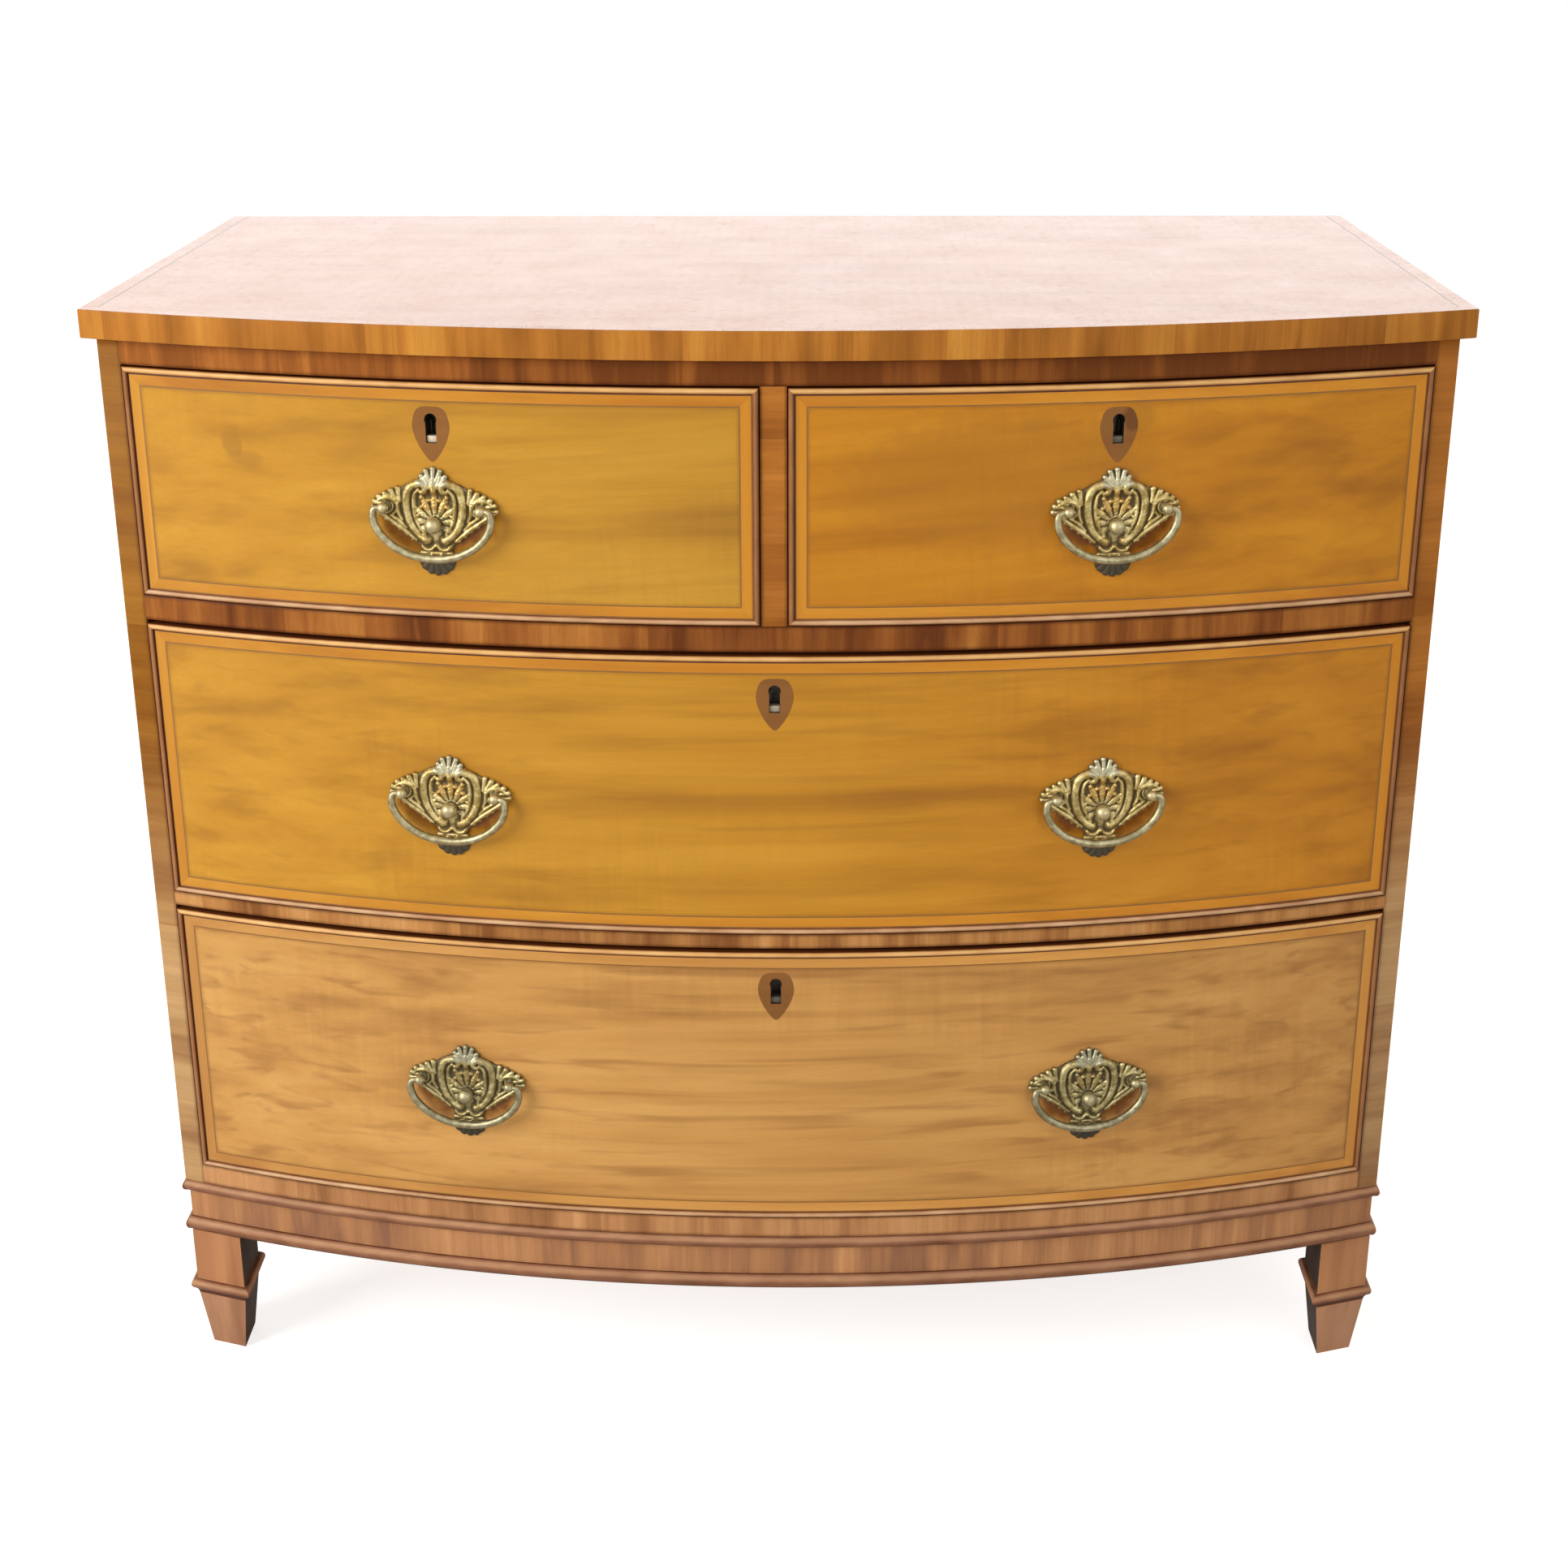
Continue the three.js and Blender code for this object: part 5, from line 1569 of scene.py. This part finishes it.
def add_top():
    """The top: as round in front as the bow, with a crossbanded border along its front and
    sides, and a dark string beside each side border."""
    low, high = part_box("top_board")
    radius = BOW_RADIUS + high.x - CASE_HALF
    inner_x = high.x - TOP_BORDER
    piece = upright("polished_top", top_outline(low, high, radius), low.z, high.z)
    soften(piece, TOP_ARRIS, 3, 40)
    divide_top(piece, high.x, inner_x, radius - TOP_BORDER)
    smooth(piece)
    kinds = ["top", "top_edge", "top_border_front", "top_border_side"]
    paint(piece, *[FINISH[kind] for kind in kinds])
    for face in piece.data.polygons:
        middle = face.center
        face.use_smooth = abs(face.normal.z) < FLAT
        if face.normal.z < EDGE_TURN:
            face.material_index = kinds.index("top_edge")
        elif abs(middle.x) > inner_x:
            face.material_index = kinds.index("top_border_side")
        elif math.hypot(middle.x, middle.y - BOW_CENTRE_Y) > radius - TOP_BORDER:
            face.material_index = kinds.index("top_border_front")
    seat(piece, "case", "top_veneer", "top_board")
    for sign, hand in ((-1, "left"), (1, "right")):
        x0 = sign * inner_x
        x1 = x0 - sign * TOP_STRING
        front = BOW_CENTRE_Y - math.sqrt((radius - TOP_BORDER) ** 2 - inner_x ** 2)
        outline = [(x0, front), (x1, front), (x1, high.y), (x0, high.y)]
        line = upright("top_" + hand + "_string", outline, high.z - VENEER_SUNK,
                       high.z + TOP_STRING_PROUD)
        paint(line, FINISH["top_string"])
        seat(line, "case", "top_veneer")


def bead_profile(low, high, base, reach, steps=8):
    """A half round moulding from low to high that stands out from base by reach."""
    half = (high - low) / 2
    points = [(base - MOULDING_SUNK, high), (base - MOULDING_SUNK, low)]
    for i in range(steps + 1):
        angle = math.pi * i / steps - math.pi / 2
        points.append((base + reach * math.cos(angle), low + half + half * math.sin(angle)))
    return points


def moulding_wear_and_highlight(low, high):
    """How much a half round moulding is rubbed and painted with a highlight: most on its upper
    side, and none in its corners, which stay dark as painted shade.
    """
    half = (high - low) / 2

    def share(place):
        up = (place.z - low - half) / half
        round_out = math.sqrt(max(1 - up * up, 0))
        return round_out * (0.5 + max(up, 0))
    return share


def add_bent_strip(name, profile, back_y, half, finish_front, finish_side, slot, nodes):
    """A strip round the front and both sides of the case, mitred at the front corners."""
    corner = Vector((half, bow_y(half, half - CASE_HALF), 0))
    slope = math.asin(half / BOW_RADIUS)
    outwards = Vector((math.sin(slope), -math.cos(slope), 0)) + Vector((1, 0, 0))
    across = Vector((-outwards.y, outwards.x, 0))
    front = strip_on_bow(name, profile, -half - FRONT_OVERRUN, half + FRONT_OVERRUN)
    trim(front, corner, across)
    trim(front, (-corner.x, corner.y, 0), (-across.x, across.y, 0))
    lengths = [paint(front, finish_front)]
    start_y = corner.y - SIDE_OVERRUN
    for sign in (-1, 1):
        points = [(sign * (CASE_HALF + out), start_y, height) for out, height in profile]
        side = extruded(name, points, (0, back_y - start_y, 0))
        trim(side, (sign * corner.x, corner.y, 0), (-sign * across.x, -across.y, 0))
        face_outwards(side)
        lengths.append(paint(side, finish_side))
    piece = smooth(joined(name, lengths))
    return seat(piece, "case", slot, *nodes)


def add_plinth():
    low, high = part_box("plinth_frame")
    half = high.x
    setback = CASE_HALF - half
    face = [(-setback - VENEER_SUNK, low.z), (-setback + VENEER_PROUD, low.z),
            (-setback + VENEER_PROUD, high.z), (-setback - VENEER_SUNK, high.z)]
    strip = add_bent_strip("plinth_banding", face, high.y, half, FINISH["plinth"],
                           FINISH["plinth"], "plinth_veneer", ())
    edge_dirt_and_shade(strip, low=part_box("plinth_bead")[1].z, high=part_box("waist_moulding")[0].z)
    for node, name in (("waist_moulding", "waist_bead"), ("plinth_bead", "lower_bead")):
        bead_low, bead_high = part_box(node)
        reach = bead_high.x - half
        profile = bead_profile(bead_low.z, bead_high.z, -setback, reach)
        strip = add_bent_strip(name, profile, high.y, half, FINISH["moulding"],
                               FINISH["moulding_side"], "plinth_veneer", (node,))
        mark(strip, "worn", moulding_wear_and_highlight(bead_low.z, bead_high.z))


def foot_steps(height):
    """Heights and half widths of a foot from its top to its toe. Its collar is a rounded bead
    over a small hollow."""
    half = FOOT_WIDTH / 2
    top = height - FOOT_BLOCK
    bead = FOOT_COLLAR * FOOT_BEAD_SHARE
    hollow = FOOT_COLLAR - bead
    steps = [(height, half), (top, half)]
    for i in range(1, FOOT_BEAD_STEPS):
        angle = math.pi * i / FOOT_BEAD_STEPS
        steps.append((top - bead * (1 - math.cos(angle)) / 2,
                      half + FOOT_COLLAR_PROUD * math.sin(angle) ** FOOT_BEAD_SQUARENESS))
    for share in FOOT_HOLLOW_SHARES:
        lip = FOOT_COLLAR_PROUD * FOOT_HOLLOW_TOP_SHARE * (1 - share) ** 2
        steps.append((top - bead - hollow * share, half + lip - FOOT_HOLLOW_DEPTH * share))
    steps.append((0, FOOT_TOE_WIDTH / 2))
    return steps


def foot_blank(name, steps):
    """A square foot drawn down from its top, ring by ring."""
    top, half = steps[0]
    corners = [(-half, -half, top), (half, -half, top), (half, half, top), (-half, half, top)]
    piece = outline_piece(name, corners)
    open_mesh(piece)
    for (above, wide), (below, narrow) in zip(steps, steps[1:]):
        bpy.ops.mesh.extrude_region_move(TRANSFORM_OT_translate={"value": (0, 0, below - above)})
        grow = narrow / wide
        bpy.ops.transform.resize(value=(grow, grow, 1), center_override=(0, 0, below))
    close_mesh()
    return piece


def add_foot(hand, sign, front):
    """A foot under a corner of the case; a front one is leant to follow the bow."""
    node = ("front_" if front else "rear_") + hand + "_foot"
    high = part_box(node)[1].z
    x = sign * (CASE_HALF - FOOT_INSET - FOOT_WIDTH / 2)
    slope = sign * math.tan(math.asin(abs(x) / BOW_RADIUS)) if front else 0.0
    y = (bow_y(x, -FOOT_INSET) + FOOT_DEPTH / 2 if front
         else CASE_HIGH.y - FOOT_INSET - FOOT_DEPTH / 2)
    piece = foot_blank(node + "_turned_out", foot_steps(high))
    for vertex in piece.data.vertices:
        vertex.co.y = vertex.co.y * FOOT_DEPTH / FOOT_WIDTH + slope * vertex.co.x + y
        vertex.co.x += x
    if not front:
        trim(piece, (0, CASE_HIGH.y, 0), (0, 1, 0))
    face_outwards(piece)
    soften(piece, FOOT_ARRIS, 2, 40)
    smooth(piece, 40)

    collar_high = high - FOOT_BLOCK
    collar_low = collar_high - FOOT_COLLAR
    # the collar is painted light on top as a highlight, and dark below as shade
    mark(piece, "worn", moulding_wear_and_highlight(collar_low + FOOT_COLLAR * FOOT_SHADED_SHARE, collar_high))
    kinds = ["foot", "foot_inner_shade", "foot_collar"]
    paint(piece, *[FINISH[kind] for kind in kinds])
    for face in piece.data.polygons:
        inwards = max(-sign * face.normal.x, face.normal.y)
        if collar_low < face.center.z < collar_high:
            face.material_index = kinds.index("foot_collar")
        # faces turned inward are painted dark, as shade
        elif inwards > FOOT_INNER_TURN:
            face.material_index = kinds.index("foot_inner_shade")
    seat(piece, "case", "plinth_veneer", node)


def add_feet():
    for sign, hand in ((-1, "left"), (1, "right")):
        add_foot(hand, sign, True)
        add_foot(hand, sign, False)


def finish_frame_nodes():
    """The pieces of the frame that stay, in their own woods."""
    finishes = {
        "carcase": ["bottom_rail", "lower_rail", "middle_rail", "top_rail", "muntin"],
        "pine_x": ["bottom_board", "lower_dustboard", "upper_dustboard", "plinth_frame"],
        "pine_z": ["centre_partition", "back_panel"],
        "oak_x": [], "oak_y": [], "iron": [],
    }
    for drawer in DRAWERS:
        name = drawer["name"]
        finishes["oak_y"] += [name + "_left_side", name + "_right_side"]
        finishes["oak_x"] += [name + "_back", name + "_bottom"]
        finishes["iron"].append(name + "_lock")
    for finish, nodes in finishes.items():
        for node in nodes:
            paint(NODES[node], FINISH[finish])


# The stage

FLOOR_SIZE = 14
FLOOR_GLOW = 0.72  # added where the camera sees the floor, and not on the object
ROOM_STRENGTH = 0.42
ROOM_TINT = (1.0, 0.985, 0.96, 1)
SEEN_TINT = (1, 1, 1, 1)


def add_floor():
    bpy.ops.mesh.primitive_plane_add(size=FLOOR_SIZE, location=(0, 0, 0))
    floor = bpy.context.object
    floor.name = "floor"
    finish = Finish("floor_paper")
    colour = srgb(236, 235, 233)
    paper = finish.node("ShaderNodeBsdfDiffuse", {}, {"Color": colour})
    glow = finish.node("ShaderNodeEmission", {}, {"Color": SEEN_TINT, "Strength": FLOOR_GLOW})
    seen = finish.node("ShaderNodeLightPath", {}, {}, "Is Camera Ray")
    lit = finish.node("ShaderNodeAddShader", {}, {0: paper, 1: glow})
    shader = finish.node("ShaderNodeMixShader", {}, {0: seen, 1: paper, 2: lit})
    finish.node("ShaderNodeOutputMaterial", {}, {0: shader})
    floor.data.materials.append(finish.material)


def add_world():
    """Soft light from all round. What the camera sees, and metal reflects, is white."""
    world = bpy.data.worlds.new("studio")
    bpy.context.scene.world = world
    world.use_nodes = True
    tree = world.node_tree
    tree.nodes.clear()
    path = tree.nodes.new("ShaderNodeLightPath")
    seen = tree.nodes.new("ShaderNodeBackground")
    seen.inputs["Color"].default_value = SEEN_TINT
    seen.inputs["Strength"].default_value = 1.0
    room = tree.nodes.new("ShaderNodeBackground")
    room.inputs["Color"].default_value = ROOM_TINT
    room.inputs["Strength"].default_value = ROOM_STRENGTH
    pick = path.outputs["Is Camera Ray"]
    for kind in ("Is Glossy Ray", "Is Transmission Ray"):
        either = tree.nodes.new("ShaderNodeMath")
        either.operation = "MAXIMUM"
        tree.links.new(pick, either.inputs[0])
        tree.links.new(path.outputs[kind], either.inputs[1])
        pick = either.outputs[0]
    mix = tree.nodes.new("ShaderNodeMixShader")
    tree.links.new(pick, mix.inputs[0])
    tree.links.new(room.outputs[0], mix.inputs[1])
    tree.links.new(seen.outputs[0], mix.inputs[2])
    output = tree.nodes.new("ShaderNodeOutputWorld")
    tree.links.new(mix.outputs[0], output.inputs[0])


def add_lamp(name, place, target, size, power, colour=(1, 1, 1)):
    light = bpy.data.lights.new(name, "AREA")
    light.shape = "RECTANGLE"
    light.size, light.size_y = size
    light.energy = power
    light.color = colour
    lamp = bpy.data.objects.new(name, light)
    bpy.context.scene.collection.objects.link(lamp)
    lamp.location = place
    lamp.rotation_euler = (Vector(target) - Vector(place)).to_track_quat("-Z", "Y").to_euler()
    lamp.visible_camera = False


def add_lamps():
    middle = (0, 0, 0.5)
    add_lamp("window", (-3.6, -2.6, 2.3), middle, (2.6, 2.6), 150)
    add_lamp("fill", (2.6, -3.6, 1.8), middle, (2.6, 2.6), 21)
    add_lamp("far_wall", (0, 3.2, 1.7), (0, 0, 0.93), (7, 1.8), 43, (1, 0.96, 0.93))


CAMERA_PLACE = (0.03498, -2.0181, 1.2394)
CAMERA_PITCH = -21.02  # degrees
CAMERA_YAW = 0.93
CAMERA_ROLL = -0.17
CAMERA_LENS = 54.6  # millimetres
CAMERA_SENSOR = 36
CAMERA_REACH = 60


def add_camera():
    camera = bpy.data.cameras.new("camera")
    camera.lens = CAMERA_LENS
    camera.sensor_width = CAMERA_SENSOR
    camera.clip_end = CAMERA_REACH
    holder = bpy.data.objects.new("camera", camera)
    bpy.context.scene.collection.objects.link(holder)
    turn = Matrix.Rotation(math.radians(CAMERA_YAW), 4, "Z")
    tip = Matrix.Rotation(math.radians(90 + CAMERA_PITCH), 4, "X")
    roll = Matrix.Rotation(math.radians(CAMERA_ROLL), 4, "Z")
    holder.matrix_world = Matrix.Translation(CAMERA_PLACE) @ turn @ tip @ roll
    bpy.context.scene.camera = holder


FINISH = make_finishes()
DRAWERS = [
    # The last value is how pale the sill is painted: rubbing by keys and a sheen of light,
    # strongest on the left
    drawer_facts("left_short", "band", "shield", 0.8),
    drawer_facts("right_short", "band", "right_shield", 0.14),
    drawer_facts("upper_long", "band", "shield", 0.5),
    drawer_facts("lower_long", "lower_band", "shield", 0.12),
]

finish_frame_nodes()
add_top()
add_sides()
add_case_veneers()
add_plinth()
add_feet()
for drawer in DRAWERS:
    add_front(drawer)
add_handles()
add_floor()
add_world()
add_lamps()
add_camera()
bpy.context.scene.view_settings.view_transform = "Standard"
